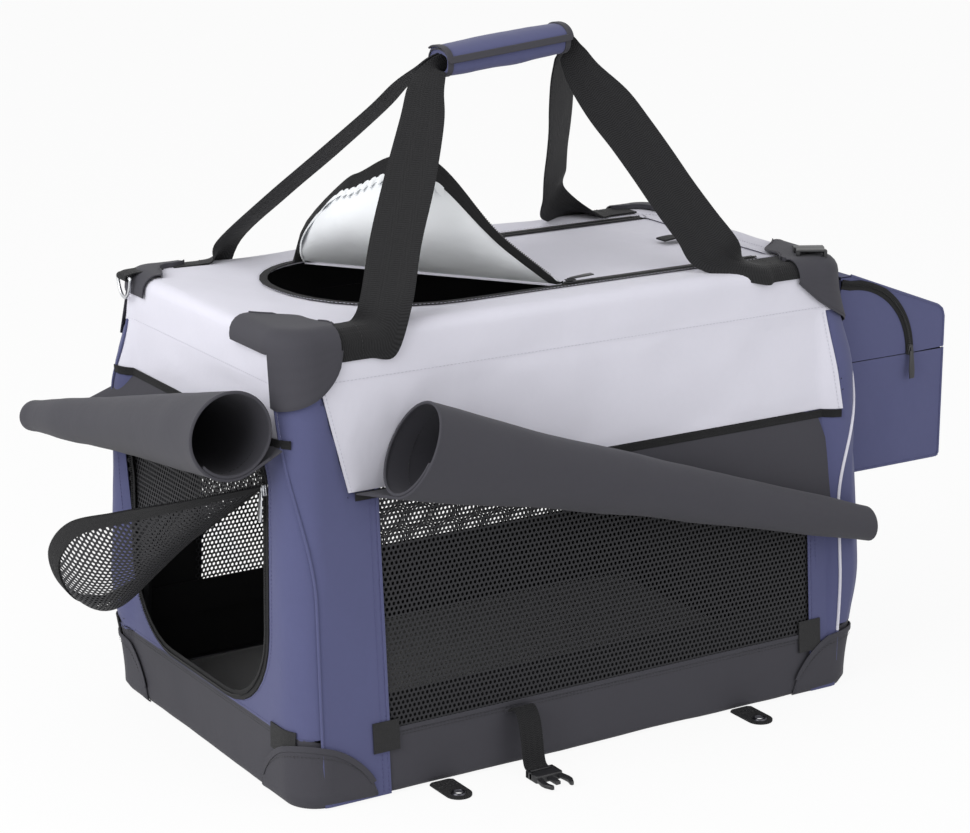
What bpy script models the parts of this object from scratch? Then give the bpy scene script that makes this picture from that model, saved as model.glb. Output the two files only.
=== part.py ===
"""Soft-sided folding pet travel crate.

Metres, +Z up. The origin is the centre of the base, on the surface it stands on. The door end
faces -X, the storage pocket hangs on the +X end, and the long side called near faces -Y.
Every sub-part is one closed body of its own; touching pieces are kept GAP apart.
"""
import math

import bmesh
import bpy
from mathutils import Matrix, Vector

# Driving dimensions of the fabric shell
HEIGHT = 0.460
BASE_HALF_LENGTH = 0.337
TOP_HALF_LENGTH = 0.330
BASE_HALF_WIDTH = 0.212
TOP_HALF_WIDTH = 0.176
CORNER_RADIUS = 0.035
TOP_EDGE_RADIUS = 0.012
BASE_EDGE_RADIUS = 0.008
CLOTH = 0.002
NET = 0.001
BINDING = 0.0012
GAP = 0.0003
PATCH_LIFT = 0.0005
TOP_PATCH_STATIONS = 9
TOP_PATCH_REACH = (0.060, 0.099)
TOP_PATCH_DROP = 0.050
TOP_PATCH_INWARD = 0.030
TOP_PATCH_ANCHOR = (0.215, 0.085)
BOOT_REACH = (0.083, 0.080)
BOOT_RISE = 0.057

# Heights of the seams
BAND_TOP = 0.064
DOOR_BAND_TOP = 0.070
WINDOW_TOP = 0.306
DOOR_VALANCE_BOTTOM = 0.358
TOP_SEAM = 0.410

# Window, valance, door and top opening
WINDOW_LEFT = -0.238
WINDOW_RIGHT = 0.278
VALANCE_LEFT_LOW = -0.268
VALANCE_LEFT_HIGH = -0.292
VALANCE_RIGHT = 0.292
DOOR_RIGHT = -0.142
DOOR_LEFT = 0.158
DOOR_BOTTOM = 0.076
DOOR_TOP = 0.345
DOOR_LOW_RADIUS = 0.088
DOOR_HIGH_RADIUS = 0.040
DOOR_FOLD_HIGH = 0.312
DOOR_FOLD_LOW = 0.134
ROOF_LEFT = -0.228
ROOF_RIGHT = 0.285
ROOF_HALF_WIDTH = 0.118
ROOF_LEFT_RADIUS = 0.070
ROOF_RIGHT_RADIUS = 0.012
ZIP_GAP = 0.0012
FOLD_GAP = 0.0006
NET_SET_BACK = 0.0006

# Folding frame of round steel tube
TUBE_RADIUS = 0.0065
BASE_TUBE_Z = 0.0092
BASE_TUBE_HALF_LENGTH = 0.3235
BASE_TUBE_HALF_WIDTH = 0.1990
TOP_TUBE_Z = 0.4490
TOP_TUBE_HALF_LENGTH = 0.3190
TOP_TUBE_HALF_WIDTH = 0.1660
TUBE_CORNER = 0.028
HOOP_X = 0.312
LOW_AXIS_Z = 0.030
KNEE_Z = 0.225
HIGH_AXIS_Z = 0.420
LOW_POST_FOOT_Y = 0.188
LOW_POST_KNEE_Y = 0.174
HIGH_POST_KNEE_Y = 0.160
HIGH_POST_HEAD_Y = 0.148
HOOP_BEND = 0.022
KNEE_PIN_RADIUS = 0.0030
KNEE_BORE_RADIUS = 0.0035
KNEE_EYE_RADIUS = 0.0100
SADDLE_Y = 0.112
SADDLE_BORE_RADIUS = 0.0070

# Floor
BOARD_HALF = (0.312, 0.189)
BOARD_THICKNESS = 0.003
MAT_HALF = (0.300, 0.184)
MAT_EDGE = 0.010
MAT_CROWN = 0.0165

# Rolled door and window covers: along, out, up, radius and how far the mouth is slanted
ROLL_TURNS = 1.22
ROLL_PITCH = 0.0030
ROLL_CLOTH = 0.0015
ROLL_STEPS = 26
SIDE_ROLL = ((-0.223, 0.2310, 0.353, 0.043, 0.022), (0.060, 0.2265, 0.268, 0.031, 0.0),
             (0.335, 0.2240, 0.184, 0.019, 0.0))
SIDE_ROLL_SEAM = (-0.262, 0.290)
DOOR_ROLL = ((-0.172, 0.382, 0.376, 0.043, 0.0), (0.035, 0.381, 0.336, 0.031, 0.0),
             (0.293, 0.385, 0.285, 0.017, 0.0))
DOOR_ROLL_SEAM = (-0.160, 0.150)

# Carrying straps and grip
WEBBING = 0.0016
STRAP_WIDTH = 0.050
STRAP_SLEEVE_HALF = 0.0085
STRAP_SPREAD = 0.004
STRAP_Y = 0.148
STRAP_LEFT_LEG = (-0.262, -0.222, -0.116, -0.076)
STRAP_RIGHT_LEG = (0.262, 0.240, 0.146, 0.110)
STRAP_BELLY = ((0.118, 0.530), (0.068, 0.608))
GRIP_LEFT = -0.055
GRIP_RIGHT = 0.090
GRIP_Z = 0.680
GRIP_SLOPE = 0.090
GRIP_HALF_WIDTH = 0.0210
GRIP_HALF_HEIGHT = 0.0150
GRIP_WALL = 0.0035

# Ring, buckles, tabs and sliders
RING_BAR = (-0.3395, 0.150, 0.4585)
RING_WIRE = 0.0016
RING_HALF = 0.0140
RING_DROP = 0.021
RING_TAB_END = -0.300
RING_TAB_HALF = 0.0105
CORNER_BUCKLE = (0.3055, -0.150, 0.4620)
BUCKLE_WEB_HALF = 0.0125
SOCKET_HALF = 0.016
CLOSING_STRAP_X = -0.090
PLUG = (CLOSING_STRAP_X, -0.2465, 0.0)
GROUND_TAB_X = 0.183
GROUND_TAB_REACH = 0.048
GROUND_TAB_HALF = 0.0135
EYELET_RIM = 0.0075
EYELET_HOLE = 0.0045
HOOKS_ON_SIDE = (("door", -0.2415), ("rear", 0.2760))
HOOKS_ON_DOOR = (("near", -0.158), ("far", 0.158))
HOOK_SIDE_Z = 0.061
HOOK_DOOR_Z = 0.066
HOOK_HALF_WIDTH = 0.0140
HOOK_HALF_HEIGHT = 0.0150

# Storage pocket
POCKET_BACK = 0.3365
POCKET_FRONT = 0.482
POCKET_HALF_WIDTH = 0.165
POCKET_BOTTOM = 0.220
POCKET_SEAM = 0.343
POCKET_SHOULDER = 0.388
POCKET_CREST = 0.438
POCKET_ZIP_CENTRE = (0.350, 0.343)
POCKET_ZIP_RADIUS = 0.084

LILAC = (0.66, 0.66, 0.74)
BLUE = (0.13, 0.13, 0.32)
CHARCOAL = (0.065, 0.063, 0.070)
BLACK = (0.018, 0.018, 0.020)
SILVER = (0.60, 0.63, 0.64)
STEEL = (0.55, 0.56, 0.58)


def clear_scene():
    for old in list(bpy.data.objects):
        bpy.data.objects.remove(old, do_unlink=True)


def material(name, colour, roughness, metallic=0.0):
    mat = bpy.data.materials.new(name)
    mat.use_nodes = True
    shader = mat.node_tree.nodes["Principled BSDF"]
    shader.inputs["Base Color"].default_value = (*colour, 1.0)
    shader.inputs["Roughness"].default_value = roughness
    shader.inputs["Metallic"].default_value = metallic
    mat.diffuse_color = (*colour, 1.0)
    return mat


def lerp(a, b, t):
    return a + (b - a) * t


def half_length(z):
    return lerp(BASE_HALF_LENGTH, TOP_HALF_LENGTH, z / HEIGHT)


def half_width(z):
    return lerp(BASE_HALF_WIDTH, TOP_HALF_WIDTH, z / HEIGHT)


def place(name, bm, finish, smooth=35.0):
    """Turn a bmesh into a named object with faces pointing out."""
    bmesh.ops.recalc_face_normals(bm, faces=bm.faces)
    mesh = bpy.data.meshes.new(name)
    bm.to_mesh(mesh)
    bm.free()
    obj = bpy.data.objects.new(name, mesh)
    bpy.context.scene.collection.objects.link(obj)
    obj.data.materials.append(finish)
    mesh.shade_smooth()
    mesh.set_sharp_from_angle(angle=math.radians(smooth))
    return obj


def realise(obj):
    """Replace an object's mesh with what its modifiers or bevel make."""
    bpy.context.view_layer.update()
    graph = bpy.context.evaluated_depsgraph_get()
    mesh = bpy.data.meshes.new_from_object(obj.evaluated_get(graph))
    if obj.type == "MESH":
        obj.modifiers.clear()
        obj.data = mesh
        return obj
    solid = bpy.data.objects.new(obj.name, mesh)
    bpy.context.scene.collection.objects.link(solid)
    name = obj.name
    bpy.data.objects.remove(obj, do_unlink=True)
    solid.name = name
    return solid


def fuse(target, tools, operation="UNION"):
    """Join or cut with EXACT Booleans, then drop the tools."""
    for tool in tools:
        step = target.modifiers.new("join", "BOOLEAN")
        step.operation = operation
        step.solver = "EXACT"
        step.object = tool
    realise(target)
    for tool in tools:
        bpy.data.objects.remove(tool, do_unlink=True)
    return target


def thick_sheet(name, outer, inner, finish, closed=False):
    """A sheet between two grids of points; closed joins its first and last columns."""
    bm = bmesh.new()
    rows, cols = len(outer), len(outer[0])
    front = [[bm.verts.new(p) for p in row] for row in outer]
    back = [[bm.verts.new(p) for p in row] for row in inner]
    span = cols if closed else cols - 1
    for r in range(rows - 1):
        for c in range(span):
            d = (c + 1) % cols
            bm.faces.new((front[r][c], front[r][d], front[r + 1][d], front[r + 1][c]))
            bm.faces.new((back[r][c], back[r + 1][c], back[r + 1][d], back[r][d]))
    for r in (0, rows - 1):
        for c in range(span):
            d = (c + 1) % cols
            bm.faces.new((front[r][c], back[r][c], back[r][d], front[r][d]))
    if not closed:
        for c in (0, cols - 1):
            for r in range(rows - 1):
                bm.faces.new((front[r][c], front[r + 1][c], back[r + 1][c], back[r][c]))
    return place(name, bm, finish)


def block(name, low, high, finish):
    """A box between two corners."""
    bm = bmesh.new()
    bmesh.ops.create_cube(bm, size=1.0)
    size = [b - a for a, b in zip(low, high)]
    centre = [(a + b) / 2 for a, b in zip(low, high)]
    bmesh.ops.scale(bm, vec=size, verts=bm.verts)
    bmesh.ops.translate(bm, vec=centre, verts=bm.verts)
    return place(name, bm, finish)


def rod_along_y(name, x, z, y_from, y_to, radius, finish, sides=12):
    """A round rod lying along Y."""
    bm = bmesh.new()
    bmesh.ops.create_cone(bm, cap_ends=True, segments=sides, radius1=radius, radius2=radius,
                          depth=abs(y_to - y_from))
    bmesh.ops.rotate(bm, matrix=Matrix.Rotation(math.pi / 2, 3, "X"), verts=bm.verts)
    bmesh.ops.translate(bm, vec=(x, (y_from + y_to) / 2, z), verts=bm.verts)
    return place(name, bm, finish)


def tube(name, points, radius, finish, cyclic=False, resolution=2):
    """A round tube along a list of points."""
    curve = bpy.data.curves.new(name, "CURVE")
    curve.dimensions = "3D"
    curve.bevel_depth = radius
    curve.bevel_resolution = resolution
    curve.use_fill_caps = True
    spline = curve.splines.new("POLY")
    spline.points.add(len(points) - 1)
    for spot, point in zip(spline.points, points):
        spot.co = (*point, 1.0)
    spline.use_cyclic_u = cyclic
    obj = bpy.data.objects.new(name, curve)
    bpy.context.scene.collection.objects.link(obj)
    solid = realise(obj)
    solid.data.materials.clear()
    solid.data.materials.append(finish)
    solid.data.shade_smooth()
    return solid


def prism(name, outline, offset, finish):
    """A flat outline of 3-D points swept by an offset vector."""
    bm = bmesh.new()
    face = bm.faces.new([bm.verts.new(p) for p in outline])
    swept = bmesh.ops.extrude_face_region(bm, geom=[face])
    moved = [v for v in swept["geom"] if isinstance(v, bmesh.types.BMVert)]
    bmesh.ops.translate(bm, vec=offset, verts=moved)
    return place(name, bm, finish)


def rounded_outline(left, right, low, high, radii, steps=6):
    """A rectangle with round corners; radii run low-left, low-right, high-right, high-left."""
    centres = ((left, low, 1, 1, 180), (right, low, -1, 1, 270),
               (right, high, -1, -1, 0), (left, high, 1, -1, 90))
    points = []
    for (x, y, sx, sy, start), radius in zip(centres, radii):
        for k in range(steps + 1):
            turn = math.radians(start + 90 * k / steps)
            points.append((x + sx * radius + radius * math.cos(turn),
                           y + sy * radius + radius * math.sin(turn)))
    return points


# Places on the tapered shell


def side_point(side, t, z, depth):
    """A point on one wall, depth inside its outer face."""
    if side in ("near", "far"):
        sign = -1 if side == "near" else 1
        return Vector((t, sign * (half_width(z) - depth), z))
    sign = -1 if side == "door" else 1
    return Vector((sign * (half_length(z) - depth), t, z))


def corner_point(sx, sy, f, z, depth):
    """A point on a round corner; f runs from 0 on the long side to 1 on the end."""
    radius = CORNER_RADIUS - depth
    turn = f * math.pi / 2
    cx = sx * (half_length(z) - CORNER_RADIUS)
    cy = sy * (half_width(z) - CORNER_RADIUS)
    return Vector((cx + sx * radius * math.sin(turn), cy + sy * radius * math.cos(turn), z))


def outline_ring(z, depth, steps=5):
    """All the way round the shell at one height."""
    ring = []
    for sx, sy in ((-1, -1), (1, -1), (1, 1), (-1, 1)):
        for k in range(steps + 1):
            f = k / steps
            ring.append(corner_point(sx, sy, 1 - f if sx * sy > 0 else f, z, depth))
    return ring


def seam_turn(z):
    """Where the piped seam lies on the round corner, from 0 on the side to 1 on the end."""
    t = min(max((z - 0.20) / (TOP_SEAM - 0.20), 0.0), 1.0)
    return lerp(0.16, 0.78, t * t * (3 - 2 * t))


# Frame


def rounded_rectangle_path(half_x, half_y, z, radius, steps=3):
    radii = (radius, radius, radius, radius)
    flat = rounded_outline(-half_x, half_x, -half_y, half_y, radii, steps)
    return [(x, y, z) for x, y in flat]


def saddle(x, y, axis_z, low, high, finish):
    """A clip that holds a hoop's crossbar, with a running bore."""
    clip = block("clip", (x - 0.0095, y - 0.007, low), (x + 0.0090, y + 0.007, high), finish)
    bore = rod_along_y("bore", x, axis_z, y - 0.01, y + 0.01, SADDLE_BORE_RADIUS, finish, 16)
    return fuse(clip, [bore], "DIFFERENCE")


def frame_ring(name, half_x, half_y, z, saddle_low, saddle_high, axis_z, finish):
    """A rectangular tube with the four saddles that its hoops turn in."""
    path = rounded_rectangle_path(half_x, half_y, z, TUBE_CORNER)
    ring = tube(name, path, TUBE_RADIUS, finish, cyclic=True)
    clips = [saddle(sx * HOOP_X, sy * SADDLE_Y, axis_z, saddle_low, saddle_high, finish)
             for sx in (-1, 1) for sy in (-1, 1)]
    return fuse(ring, clips)


def hoop_path(x, knee_y, bar_y, bar_z, steps=3):
    """From one knee along the crossbar to the other; the bar lies on the hinge axis."""
    way = 1 if KNEE_Z > bar_z else -1
    half = []
    for k in range(steps + 1):
        turn = math.pi / 2 * k / steps
        y = bar_y - HOOP_BEND + HOOP_BEND * math.cos(turn)
        z = bar_z + way * (HOOP_BEND - HOOP_BEND * math.sin(turn))
        half.append((y, z))
    side = [(knee_y, KNEE_Z)] + half
    return [(x, y, z) for y, z in side] + [(x, -y, z) for y, z in reversed(side)]


def lower_hoop(name, x, finish):
    path = hoop_path(x, LOW_POST_KNEE_Y, LOW_POST_FOOT_Y, LOW_AXIS_Z)
    hoop = tube(name, path, TUBE_RADIUS, finish)
    added = []
    for sy in (-1, 1):
        face = LOW_POST_KNEE_Y - TUBE_RADIUS
        added.append(rod_along_y("eye", x, KNEE_Z, sy * (face - 0.0004), sy * (face + 0.009),
                                 KNEE_EYE_RADIUS, finish, 16))
        head = HIGH_POST_KNEE_Y - TUBE_RADIUS - 0.0008
        added.append(rod_along_y("pin", x, KNEE_Z, sy * (head - 0.001), sy * (face + 0.004),
                                 KNEE_PIN_RADIUS, finish, 12))
        added.append(rod_along_y("head", x, KNEE_Z, sy * head, sy * (head - 0.002),
                                 0.0055, finish, 12))
    return fuse(hoop, added)


def upper_hoop(name, x, finish):
    path = hoop_path(x, HIGH_POST_KNEE_Y, HIGH_POST_HEAD_Y, HIGH_AXIS_Z)
    hoop = tube(name, path, TUBE_RADIUS, finish)
    eyes, bores = [], []
    for sy in (-1, 1):
        eyes.append(rod_along_y("eye", x, KNEE_Z, sy * (HIGH_POST_KNEE_Y - 0.0055),
                                sy * (HIGH_POST_KNEE_Y + 0.0060), KNEE_EYE_RADIUS, finish, 16))
        bores.append(rod_along_y("bore", x, KNEE_Z, sy * (HIGH_POST_KNEE_Y - 0.02),
                                 sy * (HIGH_POST_KNEE_Y + 0.02), KNEE_BORE_RADIUS, finish, 16))
    fuse(hoop, eyes)
    return fuse(hoop, bores, "DIFFERENCE")


# Base and floor


def base_tray(finish):
    """The dark fabric tub that holds the base frame."""
    skin = CLOTH + GAP
    outer = [outline_ring(0.0, skin + BASE_EDGE_RADIUS)]
    inner = [outline_ring(CLOTH, skin + BASE_EDGE_RADIUS)]
    for k in range(1, 4):
        turn = math.pi / 2 * k / 3
        reach = BASE_EDGE_RADIUS * (1 - math.sin(turn))
        outer.append(outline_ring(BASE_EDGE_RADIUS * (1 - math.cos(turn)), skin + reach))
        small = BASE_EDGE_RADIUS - CLOTH
        reach = BASE_EDGE_RADIUS - small * math.sin(turn)
        inner.append(outline_ring(BASE_EDGE_RADIUS - small * math.cos(turn), skin + reach))
    outer.append(outline_ring(BAND_TOP, skin))
    inner.append(outline_ring(BAND_TOP, skin + CLOTH))
    return capped_shell("base_tray", outer, inner, finish)


def capped_shell(name, outer, inner, finish):
    """Rings from a flat end to an open rim, closed across the flat end."""
    bm = bmesh.new()
    front = [[bm.verts.new(p) for p in ring] for ring in outer]
    back = [[bm.verts.new(p) for p in ring] for ring in inner]
    count = len(outer[0])
    for rings in (front, back):
        bm.faces.new(rings[0])
        for r in range(len(rings) - 1):
            for c in range(count):
                d = (c + 1) % count
                bm.faces.new((rings[r][c], rings[r][d], rings[r + 1][d], rings[r + 1][c]))
    for c in range(count):
        d = (c + 1) % count
        bm.faces.new((front[-1][c], front[-1][d], back[-1][d], back[-1][c]))
    return place(name, bm, finish)


def base_board(finish):
    low = CLOTH + GAP
    flat = rounded_outline(-BOARD_HALF[0], BOARD_HALF[0], -BOARD_HALF[1], BOARD_HALF[1],
                           (0.02,) * 4, 3)
    return prism("base_board", [(x, y, low) for x, y in flat], (0, 0, BOARD_THICKNESS), finish)


def floor_mat(finish):
    """A thin pad with a crown and drawn-in sides."""
    low = CLOTH + BOARD_THICKNESS + 2 * GAP
    nx, ny = 12, 8
    top, bottom = [], []
    for j in range(ny + 1):
        v = 2 * j / ny - 1
        top.append([])
        bottom.append([])
        for i in range(nx + 1):
            u = 2 * i / nx - 1
            x = MAT_HALF[0] * u * (1 - 0.018 * (1 - v * v))
            y = MAT_HALF[1] * v * (1 - 0.022 * (1 - u * u))
            rise = (1 - u ** 4) * (1 - v ** 4)
            tuft = 0.0022 * math.sin(3 * math.pi * u / 2) ** 2 * math.cos(math.pi * v) ** 2
            z = low + MAT_EDGE * 0.5 + (MAT_CROWN - MAT_EDGE * 0.5) * rise ** 0.5 - tuft * rise
            top[-1].append((x, y, z))
            bottom[-1].append((x, y, low))
    return thick_sheet("floor_mat", top, bottom, finish)


# Fabric walls


def corner_strip(name, sx, sy, finish):
    """Upright strip from the window edge round the corner to the piped seam."""
    levels = (0.001, BAND_TOP, 0.185, 0.250, WINDOW_TOP, WINDOW_TOP + GAP, 0.365,
              TOP_SEAM - GAP)

    def edge(z):
        if z <= WINDOW_TOP:
            return WINDOW_LEFT - GAP if sx < 0 else WINDOW_RIGHT + GAP
        if sx > 0:
            return VALANCE_RIGHT + GAP
        t = (z - WINDOW_TOP) / (TOP_SEAM - WINDOW_TOP)
        return lerp(VALANCE_LEFT_LOW, VALANCE_LEFT_HIGH, t) - GAP

    def row(z, depth):
        side = "near" if sy < 0 else "far"
        points = [side_point(side, edge(z), z, depth)]
        stop = seam_turn(z)
        points += [corner_point(sx, sy, stop * k / 6, z, depth) for k in range(7)]
        return points

    return thick_sheet(name, [row(z, 0) for z in levels], [row(z, CLOTH) for z in levels],
                       finish)


def end_panel(name, side, levels, finish):
    """A wall across one end, from one piped seam to the other."""
    sx = -1 if side == "door" else 1

    def row(z, depth):
        clear = seam_turn(z) + 0.008
        steps = [lerp(clear, 1.0, k / 6) for k in range(7)]
        low = [corner_point(sx, -1, f, z, depth) for f in steps]
        high = [corner_point(sx, 1, f, z, depth) for f in reversed(steps)]
        return low + high

    return thick_sheet(name, [row(z, 0) for z in levels], [row(z, CLOTH) for z in levels],
                       finish)


def door_outline(inset=0.0):
    """The door opening as (y, z) points, moved in by inset."""
    low = DOOR_LOW_RADIUS - inset
    high = DOOR_HIGH_RADIUS - inset
    return rounded_outline(DOOR_RIGHT + inset, DOOR_LEFT - inset, DOOR_BOTTOM + inset,
                           DOOR_TOP - inset, (low, low, high, high), 7)


def door_wall(finish):
    levels = (DOOR_BAND_TOP, 0.185, 0.250, 0.310, DOOR_VALANCE_BOTTOM - GAP)
    wall = end_panel("door_wall", "door", levels, finish)
    flat = [(-0.36, y, z) for y, z in door_outline()]
    cutter = prism("cut", flat, (0.06, 0, 0), finish)
    return fuse(wall, [cutter], "DIFFERENCE")


def valance(name, side, finish):
    """The pale panel under the roof seam on a long side."""
    low, high = WINDOW_TOP + GAP, TOP_SEAM - GAP
    spans = ((low, VALANCE_LEFT_LOW, VALANCE_RIGHT), (high, VALANCE_LEFT_HIGH, VALANCE_RIGHT))

    def grid(depth):
        rows = []
        for z, left, right in spans:
            rows.append([side_point(side, left, z, depth), side_point(side, right, z, depth)])
        return rows

    return thick_sheet(name, grid(0), grid(CLOTH), finish)


def net(name, corners, inward, gaps_u, gaps_v, web, finish):
    """A flat net between four corners: low left, low right, high right, high left."""
    a, b, c, d = (Vector(p) for p in corners)
    inward = Vector(inward)

    def ticks(gaps, length):
        pitch = (length - web) / gaps
        marks = [0.0]
        for k in range(gaps):
            marks += [(k * pitch + web) / length, ((k + 1) * pitch) / length]
        return marks + [1.0]

    us = ticks(gaps_u, ((b - a).length + (c - d).length) / 2)
    vs = ticks(gaps_v, ((d - a).length + (c - b).length) / 2)

    def spot(u, v, depth):
        return a.lerp(b, u).lerp(d.lerp(c, u), v) + inward * depth

    bm = bmesh.new()
    front = [[bm.verts.new(spot(u, v, 0)) for u in us] for v in vs]
    back = [[bm.verts.new(spot(u, v, NET)) for u in us] for v in vs]

    def is_open(r, k):
        inside = 0 <= r < len(vs) - 1 and 0 <= k < len(us) - 1
        return not inside or (r % 2 == 1 and k % 2 == 1)

    for r in range(len(vs) - 1):
        for k in range(len(us) - 1):
            if is_open(r, k):
                continue
            quad = ((r, k), (r, k + 1), (r + 1, k + 1), (r + 1, k))
            bm.faces.new([front[i][j] for i, j in quad])
            bm.faces.new([back[i][j] for i, j in reversed(quad)])
            sides = ((r - 1, k, 0, 1), (r, k + 1, 1, 2), (r + 1, k, 2, 3), (r, k - 1, 3, 0))
            for ni, nj, e, f in sides:
                if is_open(ni, nj):
                    (i0, j0), (i1, j1) = quad[e], quad[f]
                    bm.faces.new((front[i1][j1], front[i0][j0], back[i0][j0], back[i1][j1]))
    return place(name, bm, finish)


def window(name, side, finish):
    """The net of a long side, set a little behind the strips."""
    low, high = BAND_TOP + GAP, WINDOW_TOP - GAP
    spots = ((WINDOW_LEFT, low), (WINDOW_RIGHT, low), (WINDOW_RIGHT, high), (WINDOW_LEFT, high))
    corners = [side_point(side, x, z, NET_SET_BACK) for x, z in spots]
    inward = (0, 1 if side == "near" else -1, 0)
    return net(name, corners, inward, 14, 8, 0.005, finish)


# Flaps that are peeled back along a fold line


def door_fold():
    """Start, end, direction across and outward for the door's fold line."""
    start = side_point("door", DOOR_RIGHT + ZIP_GAP, DOOR_FOLD_HIGH, NET_SET_BACK)
    rise = DOOR_BOTTOM + DOOR_LOW_RADIUS - DOOR_FOLD_LOW
    bend = DOOR_LEFT - DOOR_LOW_RADIUS + math.sqrt(DOOR_LOW_RADIUS ** 2 - rise ** 2)
    end = side_point("door", bend - ZIP_GAP, DOOR_FOLD_LOW, NET_SET_BACK)
    along = (end - start).normalized()
    lean = (BASE_HALF_LENGTH - TOP_HALF_LENGTH) / HEIGHT
    outward = Vector((-1, 0, lean)).normalized()
    return start, end, outward.cross(along), outward


def roof_fold():
    """The same for the roof door's fold line."""
    start = Vector((0.018, -ROOF_HALF_WIDTH + ZIP_GAP, HEIGHT - 0.001))
    end = Vector((-0.152, ROOF_HALF_WIDTH - ZIP_GAP, HEIGHT - 0.001))
    along = (end - start).normalized()
    outward = Vector((0, 0, 1))
    return start, end, outward.cross(along), outward


def inside_rounded(x, y, box, radii):
    """Whether a point lies inside a rectangle with round corners."""
    left, right, low, high = box
    if not (left < x < right and low < y < high):
        return False
    corners = ((left, low, 1, 1), (right, low, -1, 1), (right, high, -1, -1), (left, high, 1, -1))
    for (cx, cy, sx, sy), radius in zip(corners, radii):
        dx, dy = (cx + sx * radius - x) * sx, (cy + sy * radius - y) * sy
        if dx > 0 and dy > 0 and math.hypot(dx, dy) > radius:
            return False
    return True


def reach(point, direction, inside, limit=0.32):
    """How far a straight line runs before it leaves the opening."""
    low, high = 0.0, limit
    for _ in range(24):
        mid = (low + high) / 2
        spot = point + direction * mid
        low, high = (mid, high) if inside(spot) else (low, mid)
    return low


def door_inside(p):
    box = (DOOR_RIGHT + ZIP_GAP, DOOR_LEFT - ZIP_GAP, DOOR_BOTTOM + ZIP_GAP, DOOR_TOP - ZIP_GAP)
    low, high = DOOR_LOW_RADIUS - ZIP_GAP, DOOR_HIGH_RADIUS - ZIP_GAP
    return inside_rounded(p.y, p.z, box, (low, low, high, high))


def roof_inside(p):
    box = (ROOF_LEFT + ZIP_GAP, ROOF_RIGHT - ZIP_GAP, -ROOF_HALF_WIDTH + ZIP_GAP,
           ROOF_HALF_WIDTH - ZIP_GAP)
    left, right = ROOF_LEFT_RADIUS - ZIP_GAP, ROOF_RIGHT_RADIUS - ZIP_GAP
    return inside_rounded(p.x, p.y, box, (left, right, right, left))


def curled_flap(name, fold, inside, first_turn, last_turn, finish, columns=13, rows=7):
    """A flap whose cloth leaves the fold line at one angle and curls to another."""
    start, end, across, outward = fold
    outer, inner = [], []
    for c in range(columns):
        root = start.lerp(end, lerp(0.03, 0.97, c / (columns - 1)))
        depth = reach(root + across * 0.0005, across, inside) - 0.004
        front, back = [], []
        for r in range(rows):
            s = lerp(FOLD_GAP, max(depth, 0.006), r / (rows - 1))
            full = lerp(first_turn, last_turn, s / max(depth, 0.05))
            bend = max(last_turn - first_turn, 0.01) / max(depth, 0.05)
            forth = (math.sin(full) - math.sin(first_turn)) / bend
            rise = (math.cos(first_turn) - math.cos(full)) / bend
            normal = outward * math.cos(full) - across * math.sin(full)
            spot = root + across * forth + outward * rise
            front.append(spot + normal * 0.0006)
            back.append(spot - normal * 0.0006)
        outer.append(front)
        inner.append(back)
    return thick_sheet(name, outer, inner, finish)


def door_mesh(finish):
    """The part of the door's net that is still zipped, above the fold line."""
    start, end, across, _ = door_fold()
    right = start - across * FOLD_GAP
    left = end - across * FOLD_GAP
    drop = 0.012
    draw = DOOR_HIGH_RADIUS - math.sqrt(DOOR_HIGH_RADIUS ** 2 - (DOOR_HIGH_RADIUS - drop) ** 2)
    top = DOOR_TOP - drop
    corners = [right, left, side_point("door", DOOR_LEFT - draw - ZIP_GAP, top, NET_SET_BACK),
               side_point("door", DOOR_RIGHT + draw + ZIP_GAP, top, NET_SET_BACK)]
    return net("door_mesh", corners, (1, 0, 0), 9, 5, 0.005, finish)


def roof_panel(finish):
    """The part of the roof door that is still zipped, up to the fold line."""
    start, end, across, _ = roof_fold()
    z = HEIGHT - CLOTH
    edge = ROOF_HALF_WIDTH - ZIP_GAP
    corner = ROOF_RIGHT_RADIUS - ZIP_GAP
    first = start - across * FOLD_GAP
    last = end - across * FOLD_GAP
    flat = rounded_outline(first.x, ROOF_RIGHT - ZIP_GAP, -edge, edge, (0, corner, corner, 0), 3)
    curve = [(x, y) for x, y in flat if x > first.x + FOLD_GAP]
    outline = [(first.x, -edge)] + curve + [(last.x, edge)]
    return prism("roof_door_panel", [(x, y, z) for x, y in outline], (0, 0, CLOTH - GAP), finish)


# Roof


def cover_profile(lift, u):
    """Depth and height at u: below 0 down the wall, above 0 in over the roof."""
    quarter = TOP_EDGE_RADIUS * math.pi / 2
    centre_z = HEIGHT - TOP_EDGE_RADIUS
    if u <= 0:
        return -lift, centre_z + u
    if u >= quarter:
        return TOP_EDGE_RADIUS + (u - quarter), HEIGHT + lift
    turn = u / TOP_EDGE_RADIUS
    radius = TOP_EDGE_RADIUS + lift
    return TOP_EDGE_RADIUS - radius * math.cos(turn), centre_z + radius * math.sin(turn)


def top_cover(finish):
    """The roof and its turned-down border, with the roof opening cut out."""
    quarter = TOP_EDGE_RADIUS * math.pi / 2
    marks = [quarter, quarter * 0.66, quarter * 0.33, 0.0, TOP_SEAM - HEIGHT + TOP_EDGE_RADIUS]

    def rings(lift):
        made = []
        for u in marks:
            depth, z = cover_profile(lift, u)
            made.append(outline_ring(z, depth))
        return made

    shell = capped_shell("top_cover", rings(0.0), rings(-CLOTH), finish)
    left, right = ROOF_LEFT_RADIUS, ROOF_RIGHT_RADIUS
    flat = rounded_outline(ROOF_LEFT, ROOF_RIGHT, -ROOF_HALF_WIDTH, ROOF_HALF_WIDTH,
                           (left, right, right, left))
    cutter = prism("cut", [(x, y, HEIGHT - 0.01) for x, y in flat], (0, 0, 0.03), finish)
    return fuse(shell, [cutter], "DIFFERENCE")


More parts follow.
